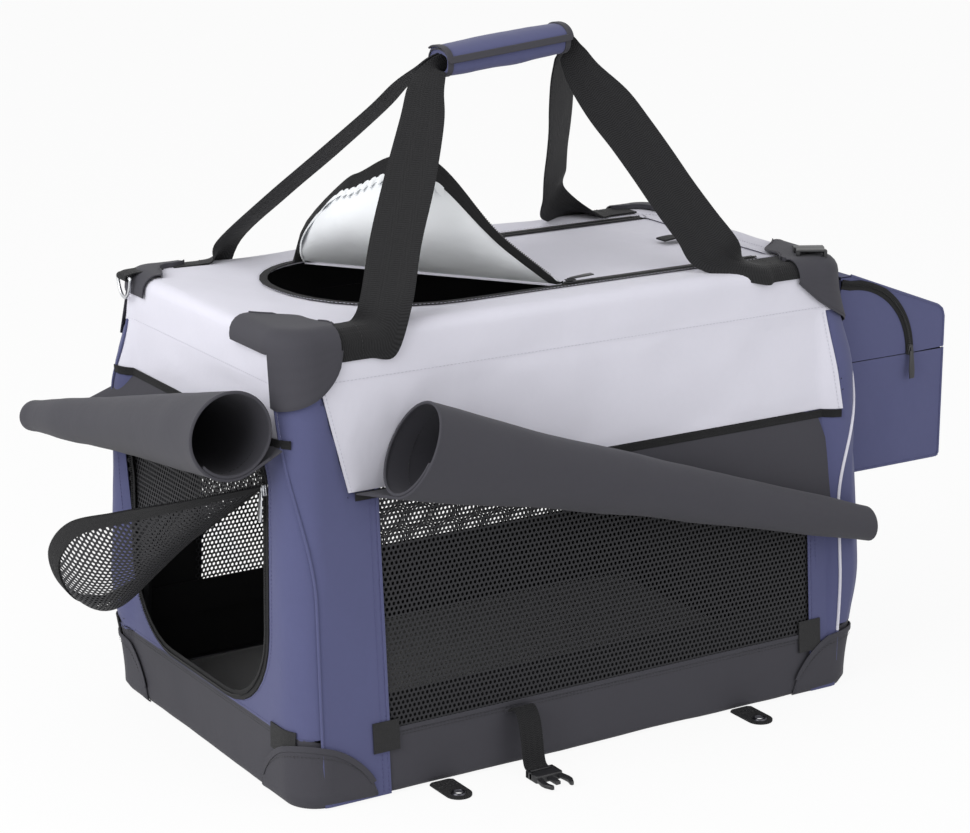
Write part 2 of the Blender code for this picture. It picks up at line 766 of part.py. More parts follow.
def patch_stations(sx, sy, long_reach, end_reach):
    """Plan stations from the long side round the corner to the end, as callables."""
    side = "near" if sy < 0 else "far"
    end = "door" if sx < 0 else "rear"
    straight, arc = 3, 6
    makers = []
    for k in range(straight):
        shift = (straight - k) / straight * (long_reach - CORNER_RADIUS)
        makers.append(lambda z, d, s=shift: side_point(
            side, sx * (half_length(z) - CORNER_RADIUS - s), z, d))
    for k in range(arc + 1):
        makers.append(lambda z, d, f=k / arc: corner_point(sx, sy, f, z, d))
    for k in range(straight):
        shift = (k + 1) / straight * (end_reach - CORNER_RADIUS)
        makers.append(lambda z, d, s=shift: side_point(
            end, sy * (half_width(z) - CORNER_RADIUS - s), z, d))
    last = len(makers) - 1
    return [(k / last, maker) for k, maker in enumerate(makers)]


def top_patch(name, sx, sy, finish):
    """Dark wear patch over a top corner, from the corner's piped seam to the long side."""
    quarter = TOP_EDGE_RADIUS * math.pi / 2
    anchor = Vector((sx * TOP_PATCH_ANCHOR[0], sy * TOP_PATCH_ANCHOR[1], HEIGHT))
    outer, inner = [], []
    stations = patch_stations(sx, sy, *TOP_PATCH_REACH)[:TOP_PATCH_STATIONS]
    for t, station in stations:
        share = t / stations[-1][0]
        drop = 0.004 + TOP_PATCH_DROP * math.sqrt(1.0 - (1.0 - share) ** 2)
        bow = max(math.sin(math.pi * share), 0.0) ** 0.75
        inward = 0.006 + TOP_PATCH_INWARD * bow

        def line(lift):
            points = []
            for u in (-drop, 0.0, quarter * 0.33, quarter * 0.66, quarter):
                depth, z = cover_profile(lift, u)
                points.append(station(z, depth))
            start = points[-1]
            way = (Vector((anchor.x, anchor.y, start.z)) - start).normalized()
            points += [start + way * inward * 0.5, start + way * inward]
            return points

        outer.append(line(PATCH_LIFT + BINDING))
        inner.append(line(PATCH_LIFT))
    return thick_sheet(name, outer, inner, finish)


def boot(name, sx, sy, finish):
    """Dark wear patch round a bottom corner, tallest on the corner edge."""
    outer, inner = [], []
    for t, station in patch_stations(sx, sy, *BOOT_REACH):
        height = 0.004 + BOOT_RISE * max(math.sin(math.pi * t), 0.0) ** 0.7
        levels = (0.0, height / 2, height)
        outer.append([station(z, -PATCH_LIFT - BINDING) for z in levels])
        inner.append([station(z, -PATCH_LIFT) for z in levels])
    return thick_sheet(name, outer, inner, finish)


# Rolled covers


def roll_section(seam, centre, radius):
    """Outline from the seam down to the roll and round it, as pairs of outer and inner points."""
    away = Vector(seam) - Vector(centre)
    first = math.atan2(away.y, away.x) + math.acos(min(radius / away.length, 1.0))
    spots = [(Vector(seam), Vector((math.cos(first), math.sin(first))))]
    for k in range(ROLL_STEPS + 1):
        wound = ROLL_TURNS * k / ROLL_STEPS
        turn = first + 2 * math.pi * wound
        normal = Vector((math.cos(turn), math.sin(turn)))
        size = radius - ROLL_PITCH * wound
        spots.append((Vector(centre) + normal * size, normal))
    return [(p, p - n * ROLL_CLOTH) for p, n in spots]


def rolled_cover(name, stations, seam, seam_span, to_world, finish):
    """A cover rolled into a cone; to_world maps (along, out, up) into the model."""
    first, last = stations[0][0], stations[-1][0]
    outer, inner = [], []
    for along, out, up, radius, slant in stations:
        seam_along = lerp(*seam_span, (along - first) / (last - first))
        front, back = [], []
        for k, (p, q) in enumerate(roll_section(seam, (out, up), radius)):
            lean = slant * math.cos(2 * math.pi * ROLL_TURNS * k / ROLL_STEPS)
            place_along = along - lean if k else seam_along
            front.append(to_world(place_along, p.x, p.y))
            back.append(to_world(place_along, q.x, q.y))
        outer.append(front)
        inner.append(back)
    return thick_sheet(name, outer, inner, finish)


def side_curtain(name, sy, finish):
    """Rolled window cover: wide at its open end by the door, narrow at the other."""
    seam = (half_width(WINDOW_TOP) + 0.0025, WINDOW_TOP - 0.002)
    return rolled_cover(name, SIDE_ROLL, seam, SIDE_ROLL_SEAM,
                        lambda along, out, up: Vector((along, sy * out, up)), finish)


def door_curtain(finish):
    """Rolled door cover, open at the corner of the near side."""
    seam = (half_length(DOOR_VALANCE_BOTTOM) + 0.0025, DOOR_VALANCE_BOTTOM - 0.010)
    return rolled_cover("door_curtain", DOOR_ROLL, seam, DOOR_ROLL_SEAM,
                        lambda along, out, up: Vector((-out, along, up)), finish)


# Straps, tabs and small parts


def webbing(name, path, finish):
    """A flat strap along points; each point is (place, across direction, half width)."""
    outer, inner = [], []
    for k, (p, across, half) in enumerate(path):
        p, across = Vector(p), Vector(across).normalized()
        before = Vector(path[max(k - 1, 0)][0])
        after = Vector(path[min(k + 1, len(path) - 1)][0])
        normal = (after - before).normalized().cross(across).normalized()
        shift = normal * WEBBING / 2
        outer.append([p - across * half + shift, p + across * half + shift])
        inner.append([p - across * half - shift, p + across * half - shift])
    return thick_sheet(name, outer, inner, finish)


def carry_strap(name, sy, finish):
    """One long strap: corner patch, foot, grip, foot, corner patch."""
    wide = STRAP_WIDTH / 2
    lie = HEIGHT + GAP + WEBBING / 2
    y = sy * STRAP_Y

    def grip_z(x):
        return GRIP_Z + GRIP_SLOPE * (x - (GRIP_LEFT + GRIP_RIGHT) / 2)

    def leg(sx, far_x, foot_x, mid_x, top_x):
        """From the corner patch up to the grip; sx is the side that it stands on."""
        tilt = (-0.86 * sx, 0.30 * sy, -0.38)
        (low_y, low_z), (high_y, high_z) = STRAP_BELLY
        end = (GRIP_LEFT if sx < 0 else GRIP_RIGHT) + sx * 0.003
        return [((far_x, y, lie), (0, 1, 0), wide),
                ((foot_x, y, lie), (0, 1, 0), wide),
                ((foot_x - sx * 0.012, y * 0.98, lie + 0.006), (-0.7 * sx, 0.7, -0.1), wide),
                ((lerp(foot_x, mid_x, 0.6), sy * low_y, low_z), tilt, wide),
                ((mid_x, sy * high_y, high_z), tilt, wide * 0.96),
                ((top_x, sy * 0.019, grip_z(top_x) - 0.010), (-0.45 * sx, 0.1 * sy, -0.88), 0.014),
                ((end, sy * STRAP_SPREAD, grip_z(end)), (0, 0, -1), STRAP_SLEEVE_HALF)]

    left = leg(-1, *STRAP_LEFT_LEG)
    right = leg(1, *STRAP_RIGHT_LEG)
    middle = (GRIP_LEFT + GRIP_RIGHT) / 2
    sleeve = [((middle, sy * STRAP_SPREAD, grip_z(middle)), (0, 0, -1), STRAP_SLEEVE_HALF)]
    path = left + sleeve + right[::-1]
    turned = []
    for k, (p, across, half) in enumerate(path):
        across = Vector(across)
        if turned and across.dot(turned[-1][1]) < 0:
            across = -across
        turned.append((p, across, half))
    return webbing(name, turned, finish)


def handle_grip(finish):
    """Padded sleeve round both straps, closed by a lap along its top."""
    count = 20
    outer, inner = [], []
    for k in range(7):
        t = k / 6
        x = lerp(GRIP_LEFT, GRIP_RIGHT, t)
        z = GRIP_Z + GRIP_SLOPE * (x - (GRIP_LEFT + GRIP_RIGHT) / 2)
        swell = 1.0 - 0.10 * abs(2 * t - 1) ** 3
        front, back = [], []
        for c in range(count):
            turn = 2 * math.pi * c / count
            cy, cz = math.cos(turn), math.sin(turn)
            front.append((x, GRIP_HALF_WIDTH * swell * cy, z + GRIP_HALF_HEIGHT * swell * cz))
            back.append((x, (GRIP_HALF_WIDTH * swell - GRIP_WALL) * cy,
                         z + (GRIP_HALF_HEIGHT * swell - GRIP_WALL) * cz))
        outer.append(front)
        inner.append(back)
    return thick_sheet("handle_grip", outer, inner, finish, closed=True)


def ground_tab(name, x, sy, finish):
    """Webbing tab with an eyelet for a ground stake, lying on the floor."""
    root, tip, half = BASE_HALF_WIDTH + 0.0005, BASE_HALF_WIDTH + GROUND_TAB_REACH, GROUND_TAB_HALF
    outline = [(-half, root), (half, root)]
    for k in range(7):
        turn = math.pi * k / 6
        outline.append((half * math.cos(turn), tip - half + half * math.sin(turn)))
    flat = [(x + u, sy * v, 0.0) for u, v in outline]
    tab = prism(name, flat, (0, 0, WEBBING), finish)
    rim = disc("rim", x, sy * (tip - half), EYELET_RIM, (0.0, 0.0028), finish)
    hole = disc("hole", x, sy * (tip - half), EYELET_HOLE, (-0.002, 0.006), finish)
    fuse(tab, [rim])
    return fuse(tab, [hole], "DIFFERENCE")


def disc(name, x, y, radius, levels, finish):
    """An upright round plug between two heights."""
    low, high = levels
    bm = bmesh.new()
    bmesh.ops.create_cone(bm, cap_ends=True, segments=14, radius1=radius, radius2=radius,
                          depth=high - low)
    bmesh.ops.translate(bm, vec=(x, y, (low + high) / 2), verts=bm.verts)
    return place(name, bm, finish)


def closing_strap(finish):
    """Strap that ties the folded crate: out of the band, over and down to the floor."""
    path = [(-0.2085, 0.0570), (-0.2140, 0.0610), (-0.2220, 0.0600), (-0.2300, 0.0510),
            (-0.2345, 0.0340), (-0.2370, 0.0150), (-0.2400, 0.0075), (-0.2452, 0.0052)]
    spots = [((CLOSING_STRAP_X, y, z), (1, 0, 0), BUCKLE_WEB_HALF) for y, z in path]
    return webbing("closing_strap", spots, finish)


def plug_arm(sx, finish):
    """One springy arm of the plug, hooked at its tip."""
    ox, oy, oz = PLUG
    flat = ((0.0095, 0.018), (0.0150, 0.018), (0.0165, 0.034), (0.0130, 0.044), (0.0095, 0.042),
            (0.0115, 0.034))
    outline = [(ox + sx * u, oy - v, oz + 0.002) for u, v in flat]
    return prism("arm", outline, (0, 0, 0.0045), finish)


def closing_buckle(finish):
    """Plug half of a side-release buckle: two springy arms, a centre tongue and a webbing slot."""
    ox, oy, oz = PLUG
    body = block("closing_buckle", (ox - 0.0155, oy - 0.020, oz), (ox + 0.0155, oy, oz + 0.0085),
                 finish)
    slot = block("slot", (ox - 0.0120, oy - 0.007, oz - 0.01), (ox + 0.0120, oy - 0.004, oz + 0.02),
                 finish)
    tongue = block("tongue", (ox - 0.003, oy - 0.036, oz + 0.002), (ox + 0.003, oy - 0.018, oz + 0.0065),
                   finish)
    fuse(body, [plug_arm(-1, finish), plug_arm(1, finish), tongue])
    return fuse(body, [slot], "DIFFERENCE")


def hook_square(name, centre, side, finish):
    """Square of hook-and-loop tape for the rolled-down cover."""
    t, z = centre

    def grid(depth):
        rows = []
        for level in (z - HOOK_HALF_HEIGHT, z + HOOK_HALF_HEIGHT):
            rows.append([side_point(side, t - HOOK_HALF_WIDTH, level, depth),
                         side_point(side, t + HOOK_HALF_WIDTH, level, depth)])
        return rows

    return thick_sheet(name, grid(-GAP - BINDING), grid(-GAP), finish)


def ring_tab(finish):
    """Short webbing tab on the corner patch, folded round the ring's bar."""
    lie = HEIGHT + PATCH_LIFT + BINDING + GAP + WEBBING / 2
    x, y, z = RING_BAR
    path = [(RING_TAB_END, lie), (x + 0.0155, lie), (x + 0.006, lie - 0.0006)]
    wrap = RING_WIRE + GAP * 2 + WEBBING / 2
    for turn in (80, 125, 170, 215, 260, 300):
        angle = math.radians(turn)
        path.append((x + wrap * math.cos(angle), z + wrap * math.sin(angle)))
    return webbing("ring_tab", [((u, y, w), (0, 1, 0), RING_TAB_HALF) for u, w in path], finish)


def d_ring(finish):
    """Steel D-ring that hangs from its tab."""
    x, y, z = RING_BAR
    points = [(x, y - RING_HALF, z), (x, y + RING_HALF, z)]
    for k in range(1, 10):
        turn = math.pi * k / 10
        points.append((x, y + RING_HALF * math.cos(turn), z - RING_DROP * math.sin(turn)))
    return tube("d_ring", points, RING_WIRE, finish, cyclic=True)


def corner_buckle(finish):
    """Side-release buckle socket over the near corner patch at the pocket's end."""
    x, y, z = CORNER_BUCKLE
    body = block("corner_buckle", (x - SOCKET_HALF, y - SOCKET_HALF, z),
                 (x + SOCKET_HALF, y + 0.010, z + 0.009), finish)
    mouth = block("mouth", (x - BUCKLE_WEB_HALF, y - 0.030, z + 0.0022),
                  (x + BUCKLE_WEB_HALF, y + 0.004, z + 0.0068), finish)
    fuse(body, [mouth], "DIFFERENCE")
    windows = [block("side", (x + sx * 0.0145 - 0.004, y - 0.009, z - 0.01),
                     (x + sx * 0.0145 + 0.004, y, z + 0.02), finish) for sx in (-1, 1)]
    return fuse(body, windows, "DIFFERENCE")


def corner_strap(finish):
    """Short strap that holds the corner buckle down."""
    x, y, z = CORNER_BUCKLE
    lie = z + WEBBING / 2
    path = [((x, y + reach, lie), (1, 0, 0), BUCKLE_WEB_HALF) for reach in (0.0103, 0.036)]
    return webbing("corner_strap", path, finish)


def slider(name, body_low, body_high, pull_low, pull_high, finish):
    """Zip slider with its hanging pull."""
    body = block(name, body_low, body_high, finish)
    pull = block("pull", pull_low, pull_high, finish)
    return fuse(body, [pull])


# Pocket


def pocket_side_body():
    """Side outline kept by the pocket's body: below the seam and inside the zip's arc."""
    cx, cz = POCKET_ZIP_CENTRE
    arc = []
    for k in range(9):
        turn = math.pi / 2 * k / 8
        arc.append((cx + (POCKET_ZIP_RADIUS - ZIP_GAP) * math.cos(turn),
                    cz - ZIP_GAP / 2 + (POCKET_ZIP_RADIUS - ZIP_GAP) * math.sin(turn)))
    top = cz + POCKET_ZIP_RADIUS - ZIP_GAP
    return ([(POCKET_BACK, POCKET_BOTTOM), (POCKET_FRONT, POCKET_BOTTOM),
             (POCKET_FRONT, POCKET_SEAM - ZIP_GAP / 2)] + arc + [(POCKET_BACK, top)])


def pocket_body(finish):
    """Open-topped fabric box with a back, a bottom, a front and two cheeks."""
    outline = pocket_side_body()
    w = POCKET_HALF_WIDTH
    body = prism("pocket_body", [(x, -w, z) for x, z in outline], (0, 2 * w, 0), finish)
    back, front, floor = POCKET_BACK + CLOTH, POCKET_FRONT - CLOTH, POCKET_BOTTOM + CLOTH
    inside = [(back, floor), (front, floor), (front, HEIGHT), (back, HEIGHT)]
    core = prism("core", [(x, -w + CLOTH, z) for x, z in inside], (0, 2 * (w - CLOTH), 0), finish)
    return fuse(body, [core], "DIFFERENCE")


def pocket_lid(finish):
    """Top and upper front with the cheeks outside the zip's arc."""
    cx, cz = POCKET_ZIP_CENTRE
    w = POCKET_HALF_WIDTH
    arc = []
    for k in range(9):
        turn = math.pi / 2 * (1 - k / 8)
        arc.append((cx + POCKET_ZIP_RADIUS * math.cos(turn),
                    cz + POCKET_ZIP_RADIUS * math.sin(turn)))
    shoulder = [(POCKET_FRONT, POCKET_SEAM), (POCKET_FRONT, POCKET_SHOULDER - 0.006),
                (POCKET_FRONT - 0.002, POCKET_SHOULDER - 0.001),
                (POCKET_FRONT - 0.008, POCKET_SHOULDER + 0.003)]
    outline = [(cx, POCKET_CREST)] + arc + shoulder
    lid = prism("pocket_lid", [(x, -w, z) for x, z in outline], (0, 2 * w, 0), finish)
    inside = [(cx - 0.02, POCKET_SEAM - 0.02), (POCKET_FRONT - CLOTH, POCKET_SEAM - 0.02),
              (POCKET_FRONT - CLOTH, POCKET_SHOULDER - 0.008),
              (POCKET_FRONT - 0.009, POCKET_SHOULDER + 0.001),
              (cx - 0.02, POCKET_CREST - CLOTH + 0.0068)]
    core = prism("core", [(x, -w + CLOTH, z) for x, z in inside], (0, 2 * (w - CLOTH), 0), finish)
    return fuse(lid, [core], "DIFFERENCE")


def pocket_slider(finish):
    cx, cz = POCKET_ZIP_CENTRE
    y = -POCKET_HALF_WIDTH - GAP
    x, z = cx + POCKET_ZIP_RADIUS, cz + 0.004
    return slider("pocket_slider", (x - 0.005, y - 0.0045, z - 0.006), (x + 0.005, y, z + 0.006),
                  (x - 0.003, y - 0.0042, z - 0.031), (x + 0.003, y - 0.0016, z - 0.004), finish)


def build_frame(finish):
    frame_ring("base_frame", BASE_TUBE_HALF_LENGTH, BASE_TUBE_HALF_WIDTH, BASE_TUBE_Z,
               BASE_TUBE_Z + 0.003, LOW_AXIS_Z + 0.0105, LOW_AXIS_Z, finish)
    frame_ring("top_frame", TOP_TUBE_HALF_LENGTH, TOP_TUBE_HALF_WIDTH, TOP_TUBE_Z,
               HIGH_AXIS_Z - 0.0100, TOP_TUBE_Z - 0.003, HIGH_AXIS_Z, finish)
    for end, x in (("door", -HOOP_X), ("rear", HOOP_X)):
        lower_hoop(end + "_lower_hoop", x, finish)
        upper_hoop(end + "_upper_hoop", x, finish)


def build_floor(charcoal, board, fleece):
    base_tray(charcoal)
    base_board(board)
    floor_mat(fleece)


def build_walls(blue, lilac, mesh):
    for sx, end in ((-1, "door"), (1, "rear")):
        for sy, side in ((-1, "near"), (1, "far")):
            corner_strip(f"corner_strip_{side}_{end}", sx, sy, blue)
    for side in ("near", "far"):
        window(side + "_window", side, mesh)
        valance(side + "_valance", side, lilac)
    door_wall(blue)
    end_panel("rear_wall", "rear", (DOOR_BAND_TOP, 0.185, 0.250, 0.310,
                                    DOOR_VALANCE_BOTTOM - GAP), blue)
    for end in ("door", "rear"):
        end_panel(end + "_valance", end, (DOOR_VALANCE_BOTTOM, 0.385, TOP_SEAM - GAP), lilac)
    door_mesh(mesh)


def build_covers(charcoal):
    side_curtain("near_curtain", -1, charcoal)
    side_curtain("far_curtain", 1, charcoal)
    door_curtain(charcoal)


def build_roof(lilac, charcoal, silver):
    top_cover(lilac)
    roof_panel(lilac)
    curled_flap("roof_flap", roof_fold(), roof_inside, 0.0, math.radians(155), silver)
    for sx, end in ((-1, "door"), (1, "rear")):
        for sy, side in ((-1, "near"), (1, "far")):
            top_patch(f"top_patch_{side}_{end}", sx, sy, charcoal)
            boot(f"boot_{side}_{end}", sx, sy, charcoal)


def build_straps(black, blue, plastic):
    carry_strap("carry_strap_near", -1, black)
    carry_strap("carry_strap_far", 1, black)
    handle_grip(blue)
    for sx, end in ((-1, "door"), (1, "rear")):
        for sy, side in ((-1, "near"), (1, "far")):
            ground_tab(f"ground_tab_{side}_{end}", sx * GROUND_TAB_X, sy, black)
    closing_strap(black)
    closing_buckle(plastic)
    corner_buckle(plastic)
    corner_strap(black)


def build_trim(black, plastic, steel):
    for end, t in HOOKS_ON_SIDE:
        hook_square(f"hook_square_near_{end}", (t, HOOK_SIDE_Z), "near", black)
    for side, t in HOOKS_ON_DOOR:
        hook_square(f"hook_square_door_{side}", (t, HOOK_DOOR_Z), "door", black)
    ring_tab(black)
    d_ring(steel)
    y = -ROOF_HALF_WIDTH
    z = HEIGHT + GAP
    slider("roof_slider", (0.022, y - 0.004, z), (0.034, y + 0.004, z + 0.0045),
           (0.032, y - 0.0025, z + 0.0012), (0.060, y + 0.0025, z + 0.0035), plastic)
    x = -half_length(0.30) - GAP
    slider("door_slider", (x - 0.0045, DOOR_RIGHT - 0.004, 0.303), (x, DOOR_RIGHT + 0.004, 0.315),
           (x - 0.0040, DOOR_RIGHT - 0.0025, 0.276), (x - 0.0018, DOOR_RIGHT + 0.0025, 0.305), steel)


def main():
    clear_scene()
    lilac = material("lilac_canvas", LILAC, 0.85)
    blue = material("blue_canvas", BLUE, 0.85)
    charcoal = material("charcoal_canvas", CHARCOAL, 0.80)
    black = material("black_webbing", BLACK, 0.75)
    mesh = material("black_net", BLACK, 0.60)
    silver = material("silver_lining", SILVER, 0.45)
    fleece = material("dark_fleece", CHARCOAL, 0.95)
    board = material("floor_board", BLACK, 0.70)
    plastic = material("black_plastic", BLACK, 0.40)
    steel = material("steel_tube", STEEL, 0.30, 1.0)
    build_frame(steel)
    build_floor(charcoal, board, fleece)
    build_walls(blue, lilac, mesh)
    build_covers(charcoal)
    build_roof(lilac, charcoal, silver)
    curled_flap("door_flap", door_fold(), door_inside, math.radians(60), math.radians(150), mesh)
    build_straps(black, blue, plastic)
    build_trim(black, plastic, steel)
    pocket_body(blue)
    pocket_lid(blue)
    pocket_slider(plastic)


main()
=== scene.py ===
"""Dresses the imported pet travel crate: canvas, nets, webbing, zips and rolled covers.

Metres, +Z up. The door end faces -X, the pocket hangs on the +X end and the near side faces -Y.
"""
import functools
import math

import bmesh
import bpy
from bpy.props import FloatProperty, FloatVectorProperty, PointerProperty
from mathutils import Matrix, Vector, noise


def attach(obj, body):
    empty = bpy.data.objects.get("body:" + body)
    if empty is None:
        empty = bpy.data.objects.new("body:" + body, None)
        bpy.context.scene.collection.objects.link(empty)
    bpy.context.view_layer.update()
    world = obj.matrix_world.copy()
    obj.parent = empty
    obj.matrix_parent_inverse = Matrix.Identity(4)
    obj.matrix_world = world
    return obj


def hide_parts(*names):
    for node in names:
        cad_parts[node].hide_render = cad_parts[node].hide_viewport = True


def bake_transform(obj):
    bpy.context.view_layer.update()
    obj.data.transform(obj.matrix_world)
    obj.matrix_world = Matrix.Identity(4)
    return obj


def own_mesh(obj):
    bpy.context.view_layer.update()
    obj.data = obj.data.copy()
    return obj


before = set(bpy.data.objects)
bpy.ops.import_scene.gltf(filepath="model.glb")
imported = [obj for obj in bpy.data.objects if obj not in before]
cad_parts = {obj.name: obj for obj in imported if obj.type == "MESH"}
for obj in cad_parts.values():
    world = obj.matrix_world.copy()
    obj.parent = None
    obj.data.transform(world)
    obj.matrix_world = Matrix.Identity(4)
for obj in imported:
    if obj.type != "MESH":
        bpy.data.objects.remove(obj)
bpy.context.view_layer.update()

bl_info = {
    "name": "Pet travel crate",
    "version": (1, 0, 0),
    "blender": (4, 5, 0),
    "location": "View3D > Sidebar > Crate",
    "description": "Canvas, nets, webbing, zips and rolled covers for a folding pet crate",
    "category": "Object",
}

UP = Vector((0, 0, 1))

# The tapered fabric shell
HEIGHT = 0.460
BASE_HALF = (0.337, 0.212)
TOP_HALF = (0.330, 0.176)
CORNER_RADIUS = 0.035
CORNER_ARC = CORNER_RADIUS * math.pi / 2
TOP_EDGE = 0.012
BASE_EDGE = 0.008
BAND_TOP = 0.064
DOOR_BAND_TOP = 0.070
WINDOW_TOP = 0.306
DOOR_VALANCE_BOTTOM = 0.358
TOP_SEAM = 0.410
WINDOW_X = (-0.238, 0.278)
VALANCE_LEFT = (-0.268, -0.292)
VALANCE_RIGHT = (0.312, 0.303)
DOOR_BOX = (-0.142, 0.158, 0.076, 0.345)
DOOR_RADII = (0.088, 0.088, 0.040, 0.040)
ROOF_BOX = (-0.231, 0.285, -0.118, 0.118)
ROOF_RADII = (0.132, 0.012, 0.012, 0.098)
CORNER_SWELL = 0.021
CORNERS = (("near_door", -1, -1), ("far_door", -1, 1), ("near_rear", 1, -1), ("far_rear", 1, 1))
SIDES = (("near", -1), ("far", 1))

# The camera that took the photograph
CAMERA_PLACE = (-1.4817, -2.3958, 1.0922)
CAMERA_AZIMUTH = -31.729
CAMERA_FALL = 15.776
CAMERA_LENS = 103.41

# Light and floor
LAMPS = (("Key", -78.0, 30.0, 2.6, 2.2, 44.0), ("Fill", 22.0, 16.0, 3.0, 2.4, 17.0),
         ("Top", 0.0, 88.0, 2.4, 2.4, 5.0))
WORLD_LIGHT = 0.62
FLOOR_WHITE = 0.92
FLOOR_SIDE = 12.0

# Finishes
CLOTH_GLOSS = 0.16
WHITE = (1.0, 1.0, 1.0, 1.0)
THREADS = {"Blue thread": (0.075, 0.075, 0.19), "Pale thread": (0.50, 0.49, 0.56),
           "Dark thread": (0.018, 0.018, 0.020), "Black thread": (0.022, 0.022, 0.024)}
SLOTS = {"Lilac canvas": "lilac_canvas", "Pale thread": "lilac_canvas",
         "Blue canvas": "blue_canvas", "Blue thread": "blue_canvas",
         "Charcoal canvas": "charcoal_canvas", "Dark thread": "charcoal_canvas",
         "Dark lining": "charcoal_canvas", "Silver lining": "silver_lining",
         "Black webbing": "black_webbing", "Black binding": "black_webbing",
         "Black thread": "black_webbing", "Hook tape": "black_webbing", "Net thread": "black_net",
         "Zip coil": "black_plastic", "Black plastic": "black_plastic",
         "Black nickel": "black_plastic", "Ring steel": "steel_tube", "Dark fleece": "dark_fleece"}


# Sizes and colours that a user would change


class CrateSizes(bpy.types.PropertyGroup):
    """Sizes of the cloth, thread and trim"""

    canvas: FloatProperty(name="Canvas", description="Thickness of the canvas",
                          default=0.0014, unit="LENGTH")
    net_pitch: FloatProperty(name="Net pitch", description="Spacing of the net's holes in a row",
                             default=0.0050, unit="LENGTH")
    net_row: FloatProperty(name="Net row", description="Spacing of the net's rows",
                           default=0.0050, unit="LENGTH")
    net_hole: FloatProperty(name="Net hole", description="Width of a hole as a share of its cell",
                            default=0.62, subtype="FACTOR")
    net_thread: FloatProperty(name="Net thread", description="Thickness of the net",
                              default=0.0007, unit="LENGTH")
    stitch: FloatProperty(name="Stitch", description="Length of one stitch",
                          default=0.0030, unit="LENGTH")
    stitch_pitch: FloatProperty(name="Stitch pitch", description="Spacing of the stitches",
                                default=0.0042, unit="LENGTH")
    thread: FloatProperty(name="Thread", description="Thickness of the sewing thread",
                          default=0.0006, unit="LENGTH")
    piping: FloatProperty(name="Piping", description="Radius of the piped seams",
                          default=0.0016, unit="LENGTH")
    tooth_pitch: FloatProperty(name="Zip pitch", description="Spacing of the zip's teeth",
                               default=0.0024, unit="LENGTH")


class CrateColours(bpy.types.PropertyGroup):
    """Colours of the cloth and trim"""

    lilac: FloatVectorProperty(name="Lilac", description="Roof and valances", size=3,
                               default=(0.655, 0.648, 0.725), subtype="COLOR")
    blue: FloatVectorProperty(name="Blue", description="Corner strips, end walls, pocket and grip",
                              size=3, default=(0.086, 0.092, 0.190), subtype="COLOR")
    charcoal: FloatVectorProperty(name="Charcoal", description="Tray, patches and rolled covers",
                                  size=3, default=(0.052, 0.051, 0.061), subtype="COLOR")
    webbing: FloatVectorProperty(name="Webbing", description="Straps and tabs", size=3,
                                 default=(0.0120, 0.0120, 0.0130), subtype="COLOR")
    lining: FloatVectorProperty(name="Lining", description="Inside of the walls", size=3,
                                default=(0.008, 0.008, 0.009), subtype="COLOR")
    silver: FloatVectorProperty(name="Silver", description="Inside of the roof door", size=3,
                                default=(0.80, 0.82, 0.84), subtype="COLOR")
    net: FloatVectorProperty(name="Net", description="Windows and door", size=3,
                             default=(0.026, 0.026, 0.029), subtype="COLOR")
    floor: FloatVectorProperty(name="Floor", description="Studio floor", size=3,
                               default=(0.86, 0.86, 0.86), subtype="COLOR")


def sizes():
    return bpy.context.scene.crate_sizes


def colours():
    return bpy.context.scene.crate_colours


# Node trees


def give(tree, node, **values):
    """Sets a node up; an output given as a value is linked to the input of that name."""
    for key, value in values.items():
        label = key.replace("_", " ")
        if label not in node.inputs:
            setattr(node, key, value)
        elif isinstance(value, bpy.types.NodeSocket):
            tree.links.new(value, node.inputs[label])
        else:
            node.inputs[label].default_value = value
    return node


def joined(tree, kind, **values):
    return give(tree, tree.nodes.new(kind), **values)


def maths(tree, operation, *terms):
    """The result of a math node on sockets or numbers."""
    node = joined(tree, "ShaderNodeMath", operation=operation)
    for socket, term in zip(node.inputs, terms):
        if isinstance(term, bpy.types.NodeSocket):
            tree.links.new(term, socket)
        else:
            socket.default_value = term
    return node.outputs[0]


def tree_shell(name, kind, inputs, outputs):
    """An empty tree with named sockets, and its two ends."""
    tree = bpy.data.node_groups.new(name, kind)
    for label, socket, default in inputs:
        made = tree.interface.new_socket(label, in_out="INPUT", socket_type="NodeSocket" + socket)
        if default is not None:
            made.default_value = default
    for label, socket in outputs:
        tree.interface.new_socket(label, in_out="OUTPUT", socket_type="NodeSocket" + socket)
    return tree, tree.nodes.new("NodeGroupInput").outputs, tree.nodes.new("NodeGroupOutput")


def plain_weave_group():
    """Over-and-under threads on the cloth's own map; puts out height and a thread mask."""
    tree, start, end = tree_shell("Plain weave", "ShaderNodeTree",
                                  [("Vector", "Vector", None), ("Threads", "Float", 900.0)],
                                  [("Height", "Float"), ("Mask", "Float")])
    split = joined(tree, "ShaderNodeSeparateXYZ", Vector=start["Vector"]).outputs
    waves = [maths(tree, "SINE", maths(tree, "MULTIPLY", maths(
        tree, "MULTIPLY", split[axis], start["Threads"]), math.pi)) for axis in "XY"]
    product = maths(tree, "MULTIPLY", *waves)
    give(tree, end, Height=maths(tree, "MULTIPLY", product, 0.5),
         Mask=maths(tree, "ABSOLUTE", product))
    return tree


